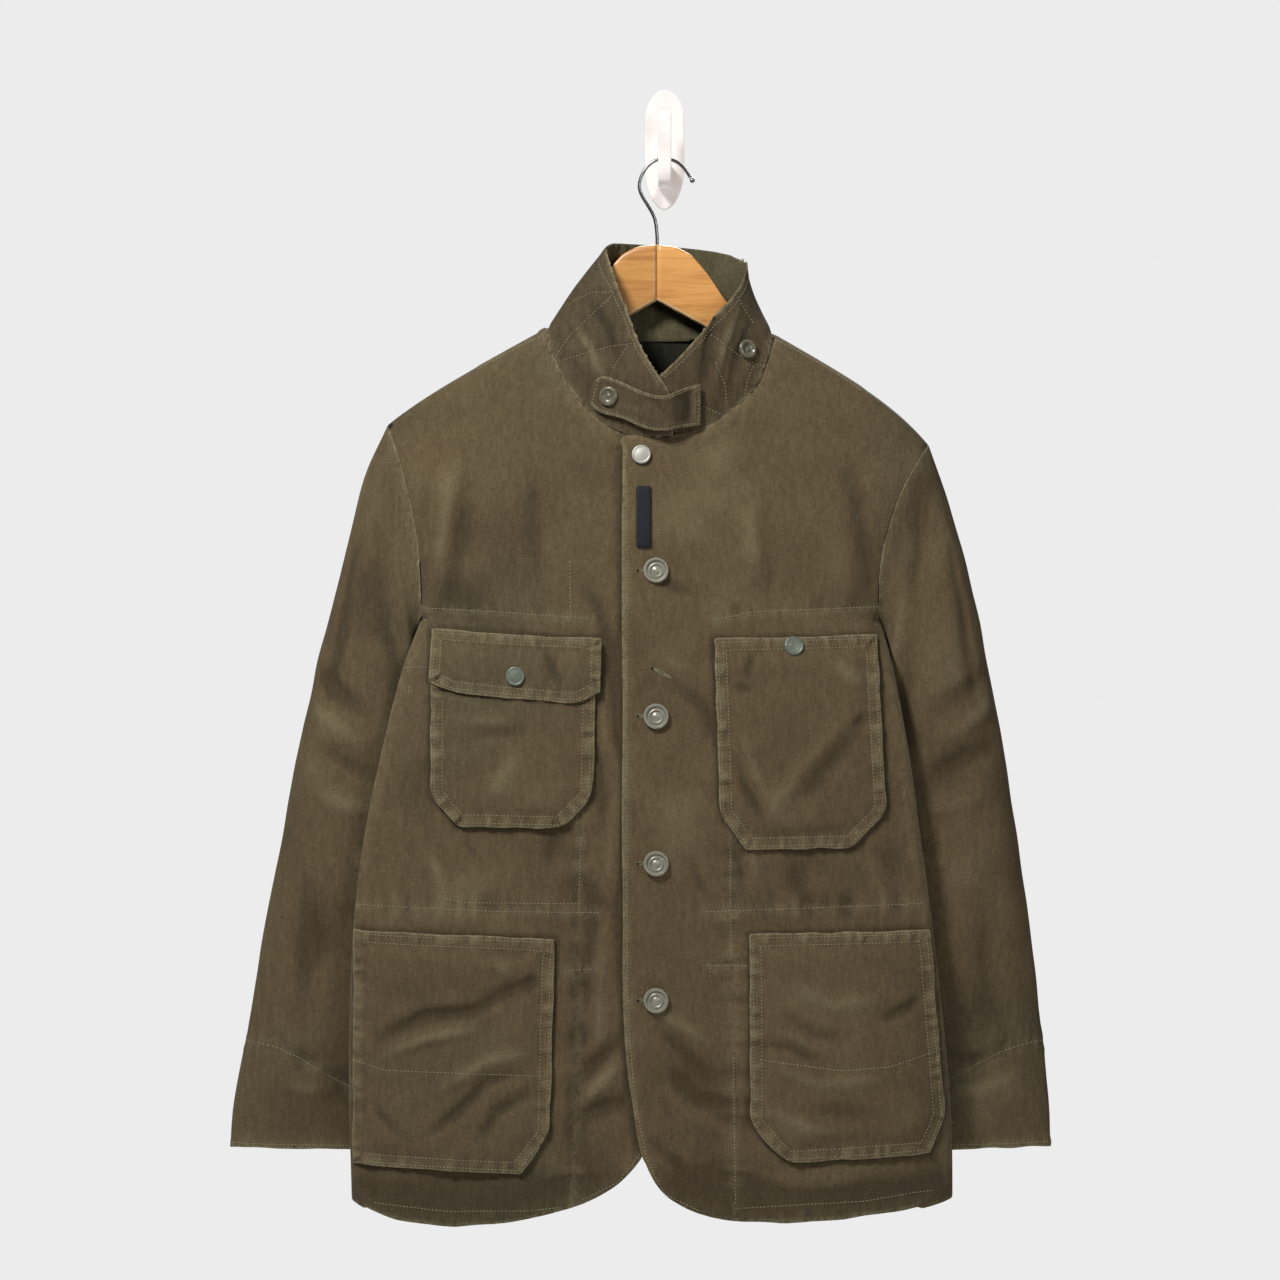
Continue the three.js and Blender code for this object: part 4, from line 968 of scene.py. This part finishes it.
def lay_on(cloth, panel, height):
    """Lays a patch on its front: it keeps its own clearance over the creased panel."""
    for k, (x, y, z) in enumerate(cloth.flat):
        gap = max(depth_at(panel.plain, x, z) - y, 0.5 * MM)
        cloth.points[k, 1] = depth_at(panel.tree, x, z) - gap - max(height[k], -0.4) * MM


def shade_round(panel, cloth, reach, strength):
    """Paints shade on a panel close round the outline of what is sewn or laps on it: a painted contact
    shadow.
    """
    spots = []
    for loop in cloth.loops:
        for p, q in zip(loop[:-1], loop[1:]):
            spots += [p.lerp(q, k / 4) for k in range(4)]
    tree = spots_tree([(p.x, 0, p.z) for p in spots])
    points = coordinates(panel.obj)
    away = np.array([tree.find((x, 0, z))[2] for x, _, z in points]) * 1000
    layer = panel.obj.data.attributes["rise"].data
    rise = np.empty(len(points))
    layer.foreach_get("value", rise)
    layer.foreach_set("value", np.clip(rise - strength * bell(away, reach), 0, 1))


# each patch: the panel under it, its creases, their seed, and how far its middle stands out in mm
PATCHES = {
    "right_chest_pocket": ("right_front", CHEST_CREASES, 71, 1.6),
    "left_chest_pocket": ("left_front", CHEST_CREASES, 71, 3.0),
    "right_chest_flap": ("right_front", CHEST_CREASES, 71, 2.2),
    "right_lower_pocket": ("right_front", LOWER_CREASES, 75, 3.2),
    "left_lower_pocket": ("left_front", LOWER_CREASES, 75, 3.0),
}


class JACKET_OT_pockets(bpy.types.Operator):
    """The patch pockets, the flap and the bare label, laid on the creased fronts"""

    bl_idname = "jacket.pockets"
    bl_label = "Pockets, flap and label"

    def execute(self, context):
        settings = context.scene.jacket_cloth
        for k, (name, (under, rows, seed, belly)) in enumerate(PATCHES.items()):
            cloth, panel = Cloth(name, FORWARD, settings.levels), PIECES[under]
            x, _, z = cloth.mm
            height = creases(x, z, rows) + 0.6 * rumple(seed, 40, x * 0.8, z)
            height = height + 0.22 * rumple(seed + 1, 14, x * 0.7, z)
            height = height * smooth((cloth.edge - 7) / 14) * settings.relief
            cloth.rise = height + cloth.hem(9, 1.5, 9, 0.7, 81 + k)
            lay_on(cloth, panel, cloth.rise + belly * smooth((cloth.edge - 4) / 24))
            cloth.uneven(1.0, 0.7, 30, 91 + k)
            wear = bell(cloth.edge, 1.3) * 1.1 + 0.08 * bell(cloth.edge - 5, 6)
            wear = wear + 0.25 * np.clip(waver(81 + k, 9, cloth.along), 0, 1) * bell(cloth.edge - 5, 5)
            # painted shade in the dent along the inner stitch row
            cloth.rise -= 0.9 * bell(cloth.edge - 11, 2.2)
            cloth.dress((FINISHES["olive"],), wear)
            # painted shadow round the patch on the panel under it
            shade_round(panel, cloth, 3.2, 0.5)
        # painted shadow of the left front's edge on the right front, and of the flap on its pocket
        shade_round(PIECES["right_front"], PIECES["left_front"], 6, 0.55)
        shade_round(PIECES["right_chest_pocket"], PIECES["right_chest_flap"], 3.2, 0.5)
        label = Cloth("front_label", FORWARD, 2)
        lay_on(label, PIECES["left_front"], np.full(len(label.flat), 0.2))
        label.dress((FINISHES["label"],), np.zeros(len(label.flat)), slot="label_cloth")
        return {"FINISHED"}


# ---------------------------------------------------------------- topstitching


def on_top(tree, guess, outward):
    """The place and normal of a surface's outer side at a guess, seen from outside."""
    away = Vector(outward(guess))
    spot, normal, _, _ = tree.ray_cast(guess + away * 0.02, -away, 0.04)
    if spot is None:
        spot, normal, _, _ = tree.find_nearest(guess, 0.02)
    return spot, normal


# one stitch in m: half its width, the height of its shoulders and crown, the depth of its ends and root
HALF_WIDTH, SHOULDER, CROWN, ENDS, ROOT = 0.00045, 0.0003, 0.00066, 0.0001, 0.0003
# the eight faces of a stitch by its first and last end, right, left, crown and root
STITCH_FACES = [(0, 2, 4), (2, 1, 4), (1, 3, 4), (3, 0, 4), (2, 0, 5), (1, 2, 5), (3, 1, 5), (0, 3, 5)]


def stitch_run(bm, path, tree, settings, outward):
    """Sews short stitches along a path of 3-D points, on the outer side of the surface there."""
    marks = [0.0]
    for p, q in zip(path[:-1], path[1:]):
        marks.append(marks[-1] + (q - p).length)
    ways = [[p[k] for p in path] for k in range(3)]
    for k in range(int(marks[-1] / settings.pitch)):
        start = (k + 0.12) * settings.pitch
        spots = [on_top(tree, Vector([np.interp(s, marks, way) for way in ways]), outward)
                 for s in (start, start + settings.stitch)]
        (a, na), (b, nb) = spots
        if a is None or b is None or not 0.4 * settings.stitch <= (b - a).length <= 2 * settings.stitch:
            continue
        side = (b - a).normalized().cross(na).normalized() * HALF_WIDTH
        middle, up = (a + b) / 2, (na + nb).normalized()
        corners = [a - up * ENDS, b - up * ENDS]
        corners += [middle + side + up * SHOULDER, middle - side + up * SHOULDER]
        corners += [middle + up * CROWN, middle - up * ROOT]
        verts = [bm.verts.new(p) for p in corners]
        for face in STITCH_FACES:
            bm.faces.new([verts[i] for i in face[::-1]])


def drawn_on(tree, line, steps_of):
    """A line of (x, z) in mm as a path on a front surface."""
    path = []
    for (x0, z0), (x1, z1) in zip(line[:-1], line[1:]):
        steps = steps_of(math.hypot(x1 - x0, z1 - z0))
        for k in range(steps + 1):
            x, z = (x0 + (x1 - x0) * k / steps) * MM, (z0 + (z1 - z0) * k / steps) * MM
            path.append(Vector((x, depth_at(tree, x, z), z)))
    return path


def inset_rows(loop, cloth, inset, keep):
    """Runs of an outline moved inwards over the cloth by an inset in mm, where they are kept."""
    runs, run = [], []
    points = loop[:-1] if (loop[0] - loop[-1]).length < 1e-6 else loop
    count = len(points)
    for k in range(count + 1):
        before, p, after = (points[(k + step) % count] for step in (-1, 0, 1))
        inward = inward_of(cloth.tree, p, after - before, cloth.outward)
        bend = (p - before).normalized().dot((after - p).normalized())
        spread = max(0.5, math.sqrt(max(0.0, (1 + bend) / 2)))
        if keep(p * 1000):
            run.append(p + inward * (inset * MM / spread))
        elif run:
            runs.append(run)
            run = []
    return [r for r in (*runs, run) if len(r) > 1]


# each row across the fronts, as (x, z) in mm
FRONT_LINES = [
    [(-222, -430), (-148, -434), (-66, -440)],
    [(43, -441), (79, -434), (195, -429)],
    [(-277, -695), (-239, -697), (-150, -701), (-58, -702)],
    [(-202, -688), (-180, -693), (-78, -694)],
    [(36, -701), (156, -697), (232, -694)],
    [(-90, -754), (-62, -752)],
    [(37, -749), (75, -749)],
    [(40, -750), (40, -761)],
    [(-240, -484), (-210, -483)],
    [(-261, -963), (-195, -970), (-120, -969), (-94, -966)],
    [(64, -967), (113, -964), (178, -961), (222, -954), (243, -952)],
    [(58, -643), (59, -745)],
    [(61, -830), (63, -966)],
    [(-75, -634), (-77, -700)],
    [(-85, -388), (-84, -440)],
    [(7, -279), (10, -284), (23, -277)],
    [(-281, -834), (-250, -843), (-105, -848)],
    [(84, -833), (156, -843), (200, -840), (250, -824)],
    [(52, -460), (52.5, -488), (44, -488)],
    [(-229, -500), (-229, -508)],
]
# each row along an outline: the piece, its distances from the edge in mm, and where it is kept
EDGE_ROWS = [
    ("right_chest_pocket", (3.4, 10.5), lambda p: p.z < -500),
    ("left_chest_pocket", (3.4, 10.5), ANYWHERE),
    ("right_chest_flap", (3.2, 9.0), ANYWHERE),
    ("right_lower_pocket", (3.4, 10.5), lambda p: p.x > -275),
    ("left_lower_pocket", (3.4, 10.5), ANYWHERE),
    ("throat_strap", (2.2,), ANYWHERE),
    ("collar", (4.5,), lambda p: p.z > -235),
    ("left_front", (4.5,), lambda p: p.x < 60 and p.z < -284),
    ("right_front", (4.5,), lambda p: p.x > -90 and p.z < -800),
    ("left_front", (3.5, 10.5), lambda p: p.x > 180 and -445 < p.z < -280),
    ("right_front", (3.5, 10.5), lambda p: p.x < -195 and -445 < p.z < -262),
    ("left_front", (3.0,), lambda p: p.x > 95 and p.z > -290),
    ("right_front", (3.0,), lambda p: p.x < -105 and p.z > -270),
    ("back", (3.5, 10.5), lambda p: abs(p.x + 12) > 190 and -445 < p.z < -262),
    ("back", (11.0,), lambda p: p.z < -925 and abs(p.x + 12) < 250),
    ("back", (3.0,), lambda p: p.z > -262 and abs(p.x + 5) > 104),
]


class JACKET_OT_stitching(bpy.types.Operator):
    """Topstitching: rows along edges, seams across the fronts, quilting and cuffs"""

    bl_idname = "jacket.stitching"
    bl_label = "Topstitching"

    def execute(self, context):
        settings = context.scene.jacket_cloth
        bm = bmesh.new()
        whole = tree_of(*[PIECES[name].obj for name in (*FREE_EDGES, *PATCHES)])
        for line in FRONT_LINES:
            path = drawn_on(whole, line, lambda run: max(2, int(run / 6)))
            stitch_run(bm, path, whole, settings, FORWARD)
        for name, insets, keep in EDGE_ROWS:
            cloth = PIECES[name]
            for loop in cloth.loops:
                for inset in insets:
                    for run in inset_rows(loop, cloth, inset, keep):
                        stitch_run(bm, run, cloth.tree, settings, cloth.outward)
        collar = PIECES["collar"].tree
        for line in COLLAR_QUILTING:
            stitch_run(bm, drawn_on(collar, line, lambda run: 8), collar, settings, FORWARD)
        for name, side in SLEEVES.items():
            cloth, axis = PIECES[name], sleeve_axis(name)
            for loop in cloth.loops:
                for run in inset_rows(loop, cloth, 4, ANYWHERE) if loop[0].z < -0.8 else ():
                    stitch_run(bm, run, cloth.tree, settings, cloth.outward)
            ring = []
            for turn in np.linspace(0, 2 * math.pi, 73):
                z = ARMHOLE - (CUFF_SEAM[0] - CUFF_SEAM[1] * math.sin(turn)) * MM
                x, y = axis(z)
                ring.append(Vector((x + side * 0.06 * math.sin(turn), y - 0.03 * math.cos(turn), z)))
            stitch_run(bm, ring, cloth.tree, settings, cloth.outward)
        bmesh.ops.recalc_face_normals(bm, faces=bm.faces)
        mesh = bpy.data.meshes.new("topstitching")
        bm.to_mesh(mesh)
        bm.free()
        finished(new_object("topstitching", mesh), "olive_cloth", None, FINISHES["thread"])
        return {"FINISHED"}


# ---------------------------------------------------------------- buttons, snaps, hanger and hook


def seat_of(node):
    """A round piece's middle, the way it faces, its width, and its rear and front, from its solid."""
    points = np.array([v.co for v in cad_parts[node].data.vertices])
    middle = points.mean(0)
    _, _, axes = np.linalg.svd(points - middle)
    facing = axes[2] if axes[2][1] < 0 else -axes[2]
    across, depth = (points - middle) @ axes[0], (points - middle) @ facing
    return Vector(middle), Vector(facing), across.max() - across.min(), depth.min(), depth.max()


def turned(node, profile, segments, material, slot, under=None):
    """A round piece spun from a profile of (radius, height) shares, on its solid's place."""
    middle, facing, size, low, high = seat_of(node)
    middle += facing * low
    if under:
        panel = PIECES[under]
        middle.y += depth_at(panel.tree, middle.x, middle.z) - depth_at(panel.plain, middle.x, middle.z)
    select_only()
    bpy.ops.mesh.primitive_circle_add(
        vertices=segments, radius=size / 2, fill_type="NGON", enter_editmode=True
    )
    obj = bpy.context.object
    obj.name = obj.data.name = node + "_turned"
    bpy.ops.mesh.select_all(action="SELECT")
    radius, height = 1.0, 0.0
    for r, h in profile:
        step = (0, 0, (h - height) * (high - low))
        bpy.ops.mesh.extrude_region_move(TRANSFORM_OT_translate={"value": step})
        if abs(r - radius) > 1e-6:
            bpy.ops.transform.resize(value=(r / radius, r / radius, 1), center_override=(0, 0, 0))
        radius, height = r, h
    bpy.ops.mesh.select_all(action="SELECT")
    bpy.ops.mesh.remove_doubles(threshold=1e-6)
    bpy.ops.mesh.normals_make_consistent(inside=False)
    bpy.ops.object.mode_set(mode="OBJECT")
    obj.matrix_world = Matrix.Translation(middle) @ facing.to_track_quat("Z", "X").to_matrix().to_4x4()
    bpy.ops.object.transform_apply(location=True, rotation=True, scale=True)
    bpy.ops.object.shade_smooth_by_angle(angle=math.radians(38))
    finished(obj, slot, node, material)


# profiles of round pieces, from the rim inwards, as shares of the radius and of the height
FRONT_BUTTON = [
    (1.0, 0.35), (0.985, 0.70), (0.94, 0.95), (0.87, 1.0), (0.80, 0.93), (0.76, 0.62), (0.72, 0.42),
    (0.60, 0.46), (0.55, 0.66), (0.50, 0.70), (0.45, 0.60), (0.40, 0.30), (0.34, 0.28), (0.27, 0.40),
    (0.16, 0.62), (0.06, 0.72), (0.01, 0.74),
]
SMALL_BUTTON = [
    (1.0, 0.35), (0.97, 0.66), (0.90, 0.90), (0.80, 1.0), (0.68, 0.92), (0.58, 0.52), (0.50, 0.32),
    (0.28, 0.28), (0.24, 0.42), (0.10, 0.50), (0.01, 0.50),
]
SNAP_CAP = [
    (1.0, 0.12), (1.0, 0.40), (0.97, 0.66), (0.92, 0.82), (0.86, 0.86), (0.80, 0.80), (0.76, 0.70),
    (0.70, 0.70), (0.45, 0.80), (0.20, 0.86), (0.01, 0.87),
]
# each snap's finish, and the front that it sits on
SNAPS = {
    "neck_snap": ("stud", "left_front"),
    "pocket_snap": ("snap", "left_front"),
    "flap_snap": ("snap", "right_front"),
}
# middle x and z, length and degrees from level, mm: one worked hole without a button, then four dark
# rings beside the front buttons, shaped as buttonhole ends, that paint the buttons' shadows
BUTTONHOLES = [
    (-3.5, -488, 21, -27), (-22, -397, 8, 0), (-22, -527, 8, 0), (-22, -658, 8, 0), (-22, -780, 8, 0)
]
RING, CORD = 0.0015, 0.0008  # m, a buttonhole ring's radius and its thread's, before it is drawn long


class JACKET_OT_buttonholes(bpy.types.Operator):
    """Worked buttonholes: an oval ring of dark thread round a black disc of painted shade, laid on the left
    front; the rings beside the front buttons paint the buttons' shadows
    """

    bl_idname = "jacket.buttonholes"
    bl_label = "Buttonholes"

    def execute(self, context):
        creased = PIECES["left_front"].tree
        for k, (x, z, long, turn) in enumerate(BUTTONHOLES, 1):
            x, z, long = x * MM, z * MM, long * MM
            lean = math.atan2(depth_at(creased, x, z + 0.004) - depth_at(creased, x, z - 0.004), 0.008)
            select_only()
            bpy.ops.mesh.primitive_torus_add(
                major_segments=28, minor_segments=6, major_radius=RING, minor_radius=CORD
            )
            ring = context.object
            ring.name = ring.data.name = f"buttonhole_{k}"
            finished(ring, "olive_cloth", None, FINISHES["dark thread and painted shadow"], FINISHES["hole"])
            ring.data.transform(Matrix.Diagonal((long / (2 * (RING + CORD)), 0.75, 0.6, 1)))
            bpy.ops.object.mode_set(mode="EDIT")
            bpy.ops.mesh.select_all(action="DESELECT")
            # black disc at the hole's eye: painted shade
            eyelet = (-0.5 * long + 0.0018, 0, 0.0003)
            bpy.ops.mesh.primitive_cylinder_add(vertices=20, radius=0.0012, depth=0.0008, location=eyelet)
            context.object.active_material_index = 1
            bpy.ops.object.material_slot_assign()
            bpy.ops.object.mode_set(mode="OBJECT")
            level = Matrix.Rotation(math.radians(turn), 4, "Z")
            upright = Matrix.Rotation(math.pi / 2 - lean, 4, "X")
            place = Matrix.Translation((x, depth_at(creased, x, z), z))
            ring.data.transform(place @ upright @ level)
            bpy.ops.object.shade_smooth_by_angle(angle=math.radians(40))
        return {"FINISHED"}


class JACKET_OT_buttons(bpy.types.Operator):
    """Front buttons, collar buttons and press studs"""

    bl_idname = "jacket.buttons"
    bl_label = "Buttons and press studs"

    def execute(self, context):
        for k in range(1, 5):
            turned(f"front_button_{k}", FRONT_BUTTON, 40, FINISHES["metal"], "button", "left_front")
        for node in ("strap_button", "stowing_button"):
            turned(node, SMALL_BUTTON, 32, FINISHES["horn"], "button")
        for node, (finish, panel) in SNAPS.items():
            turned(node, SNAP_CAP, 32, FINISHES[finish], "snap", panel)
        return {"FINISHED"}


def square_arm(obj, node):
    """Flat faces on an arm, straight lower edges that run down from the middle, and their pale border."""
    solid = np.array([v.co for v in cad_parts[node].data.vertices])
    rings = sorted({round(x, 5) for x in solid[:, 0]})
    spans = []
    for x in rings:
        ring = solid[np.abs(solid[:, 0] - x) < WELD]
        spans.append([side(ring[:, k]) for k in (1, 2) for side in (np.min, np.max)])
    spans = np.array(spans)
    points = coordinates(obj)
    outward, middle = (1, rings[-1]) if "right" in node else (-1, rings[0])
    away = np.abs(points[:, 0] - middle)
    front, rear, low, high = (np.interp(points[:, 0], rings, spans[:, k]) for k in range(4))
    share = 1 - 0.6 * (1 - smooth((away - 0.06) / 0.03))
    squared = []
    for values, start, end in ((points[:, 1], front, rear), (points[:, 2], low, high)):
        place = (values * 2 - start - end) / (end - start)
        squared.append(np.sign(place) * np.abs(place) ** share)
    apex = spans[rings.index(middle), 2]
    bottom = np.where(away < 0.05, np.minimum(low, apex - 0.55 * away), low)
    points[:, 1] = (front + rear) / 2 + squared[0] * (rear - front) / 2
    points[:, 2] = (bottom + high) / 2 + squared[1] * (high - bottom) / 2
    points[:, 0] += outward * 0.00017 * (away < 0.0003)
    place_points(obj, points)
    border = smooth((-squared[1] - 0.86) / 0.06)
    obj.data.attributes.new("border", "FLOAT", "POINT").data.foreach_set("value", border)


class JACKET_OT_hanger(bpy.types.Operator):
    """The wooden hanger's arms and its wire hook"""

    bl_idname = "jacket.hanger"
    bl_label = "Hanger"

    def execute(self, context):
        for node in ("hanger_right_arm", "hanger_left_arm"):
            obj, _ = smooth_copy(node + "_wood", node, 2, 1.0, 0.8)
            square_arm(obj, node)
            finished(obj, "beech", node, FINISHES[node])
        for node in ("hanger_wire", "wire_tip"):
            obj, _ = smooth_copy(node + "_steel", node, 1, 0.6, 1.0)
            finished(obj, "wire", node, FINISHES["wire"])
        return {"FINISHED"}


class JACKET_OT_hook(bpy.types.Operator):
    """The plastic wall hook: its plate and its arm"""

    bl_idname = "jacket.hook"
    bl_label = "Wall hook"

    def execute(self, context):
        for node in ("wall_hook_plate", "wall_hook_arm"):
            obj, _ = smooth_copy(node + "_plastic", node, 2, 0.55, 0.5)
            finished(obj, "hook_plastic", node, FINISHES["plastic"])
        return {"FINISHED"}


# ---------------------------------------------------------------- materials and stage


class JACKET_OT_finishes(bpy.types.Operator):
    """All materials of the jacket, the hanger and the hook"""

    bl_idname = "jacket.finishes"
    bl_label = "Materials"

    def execute(self, context):
        cloth, hard = context.scene.jacket_cloth, context.scene.jacket_hardware
        olive, green, worn_and_highlight, lining_in_shade = cloth.olive, cloth.green, cloth.worn_and_highlight, cloth.lining_in_shade
        inner = tint(1.25, green)
        FINISHES.update({
            "olive": cloth_finish("olive cotton", olive, green, worn_and_highlight),
            "lining_in_shade": cloth_finish("lining_in_shade", lining_in_shade, tint(0.8, lining_in_shade), green, inside=True),
            "inner collar": cloth_finish("inner collar", inner, tint(0.5, inner), worn_and_highlight, inside=True),
            "collar olive": cloth_finish("collar cotton", tint(0.62, olive), tint(0.62, green), worn_and_highlight),
            "thread": thread_finish("thread", cloth.thread),
            # darker thread for the worked buttonhole, also for the rings that paint the front buttons'
            # shadows
            "dark thread and painted shadow": thread_finish("buttonhole thread and painted shadow", tint(0.55, cloth.thread)),
            "hole": hole_shade_finish(),
            "label": label_finish(cloth.label),
            "horn": horn_finish(hard.horn),
            "metal": snap_finish("button metal", hard.metal),
            "stud": snap_finish("neck stud", hard.stud),
            "snap": snap_finish("snap", hard.snap),
            "hanger_right_arm": wood_finish(
                "right arm wood", math.radians(-8), tint(0.86, hard.beech), tint(0.86, hard.grain)
            ),
            "hanger_left_arm": wood_finish("left arm wood", math.radians(26), hard.beech, hard.grain),
            "wire": steel_finish(hard.steel),
            "plastic": plastic_glow_finish(hard.plastic),
        })
        return {"FINISHED"}


# name, place in m, size in m and power in W of each soft lamp; all aim at the jacket's middle
LAMPS = [
    ("key", (-1.3, -1.7, 1.7), 0.7, 118),
    ("fill", (1.8, -2.6, 0.2), 1.2, 26),
    ("behind", (0.4, 2.6, 1.2), 1.8, 90),
]
AIM = Vector((0, 0, -0.5))


class JACKET_OT_stage(bpy.types.Operator):
    """Pale floor and surroundings, soft light and the camera"""

    bl_idname = "jacket.stage"
    bl_label = "Stage"

    def execute(self, context):
        scene, stage = context.scene, context.scene.jacket_stage
        world = bpy.data.worlds.new("pale room")
        room = Nodes(world)
        seen = Term(room, room.add("ShaderNodeLightPath", {}, {}).outputs["Is Camera Ray"])
        glow = seen * (1 - stage.glow) + stage.glow
        shader = room.add("ShaderNodeBackground", {}, {"Color": stage.paper, "Strength": glow})
        room.add("ShaderNodeOutputWorld", {}, {"Surface": shader.outputs[0]})
        scene.world = world
        scene.view_settings.view_transform = "Standard"
        select_only()
        bpy.ops.mesh.primitive_plane_add(size=3.6, location=(0, -1.2, -stage.floor))
        floor = context.object
        floor.name = "floor"
        bpy.ops.object.transform_apply(location=True)
        floor.data.materials.append(Finish("floor paper", Base_Color=stage.paper, Roughness=0.9).material)
        floor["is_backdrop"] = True
        for name, place, size, power in LAMPS:
            data = bpy.data.lights.new(name, "AREA")
            data.shape, data.size, data.energy = "DISK", size, power
            lamp = new_object(name, data)
            lamp.location = place
            lamp.rotation_euler = (AIM - Vector(place)).to_track_quat("-Z", "Y").to_euler()
        data = bpy.data.cameras.new("camera")
        data.sensor_width = 36
        data.lens = 36 * stage.distance / stage.width
        data.clip_end = 50
        camera = new_object("camera", data)
        camera.location = (-stage.aside, -stage.distance - 0.06, -stage.centre)
        camera.rotation_euler = (math.pi / 2, 0, 0)
        scene.camera = camera
        return {"FINISHED"}


STEPS = [
    JACKET_OT_stage, JACKET_OT_finishes, JACKET_OT_fronts, JACKET_OT_back, JACKET_OT_sleeves,
    JACKET_OT_collar, JACKET_OT_pockets, JACKET_OT_stitching, JACKET_OT_buttonholes, JACKET_OT_buttons,
    JACKET_OT_hanger, JACKET_OT_hook,
]
GROUPS = {"jacket_cloth": JacketCloth, "jacket_hardware": JacketHardware, "jacket_stage": JacketStage}


class JACKET_PT_panel(bpy.types.Panel):
    """The steps in order"""

    bl_label = "Logger jacket"
    bl_idname = "JACKET_PT_panel"
    bl_space_type = "VIEW_3D"
    bl_region_type = "UI"
    bl_category = "Jacket"

    def draw(self, context):
        for step in STEPS:
            self.layout.operator(step.bl_idname)
        for name, group in GROUPS.items():
            box = self.layout.box()
            for prop in group.__annotations__:
                box.prop(getattr(context.scene, name), prop)


def register():
    for cls in (*GROUPS.values(), *STEPS, JACKET_PT_panel):
        bpy.utils.register_class(cls)
    for name, group in GROUPS.items():
        setattr(bpy.types.Scene, name, PointerProperty(type=group))


def unregister():
    for name in GROUPS:
        delattr(bpy.types.Scene, name)
    for cls in reversed((*GROUPS.values(), *STEPS, JACKET_PT_panel)):
        bpy.utils.unregister_class(cls)


def main():
    register()
    for step in STEPS:
        group, name = step.bl_idname.split(".")
        getattr(getattr(bpy.ops, group), name)()
    boxes = {"cad": CAD_BOX, "visual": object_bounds()}
    {name: [list(corner) for corner in box] for name, box in boxes.items()}


if __name__ == "__main__":
    main()
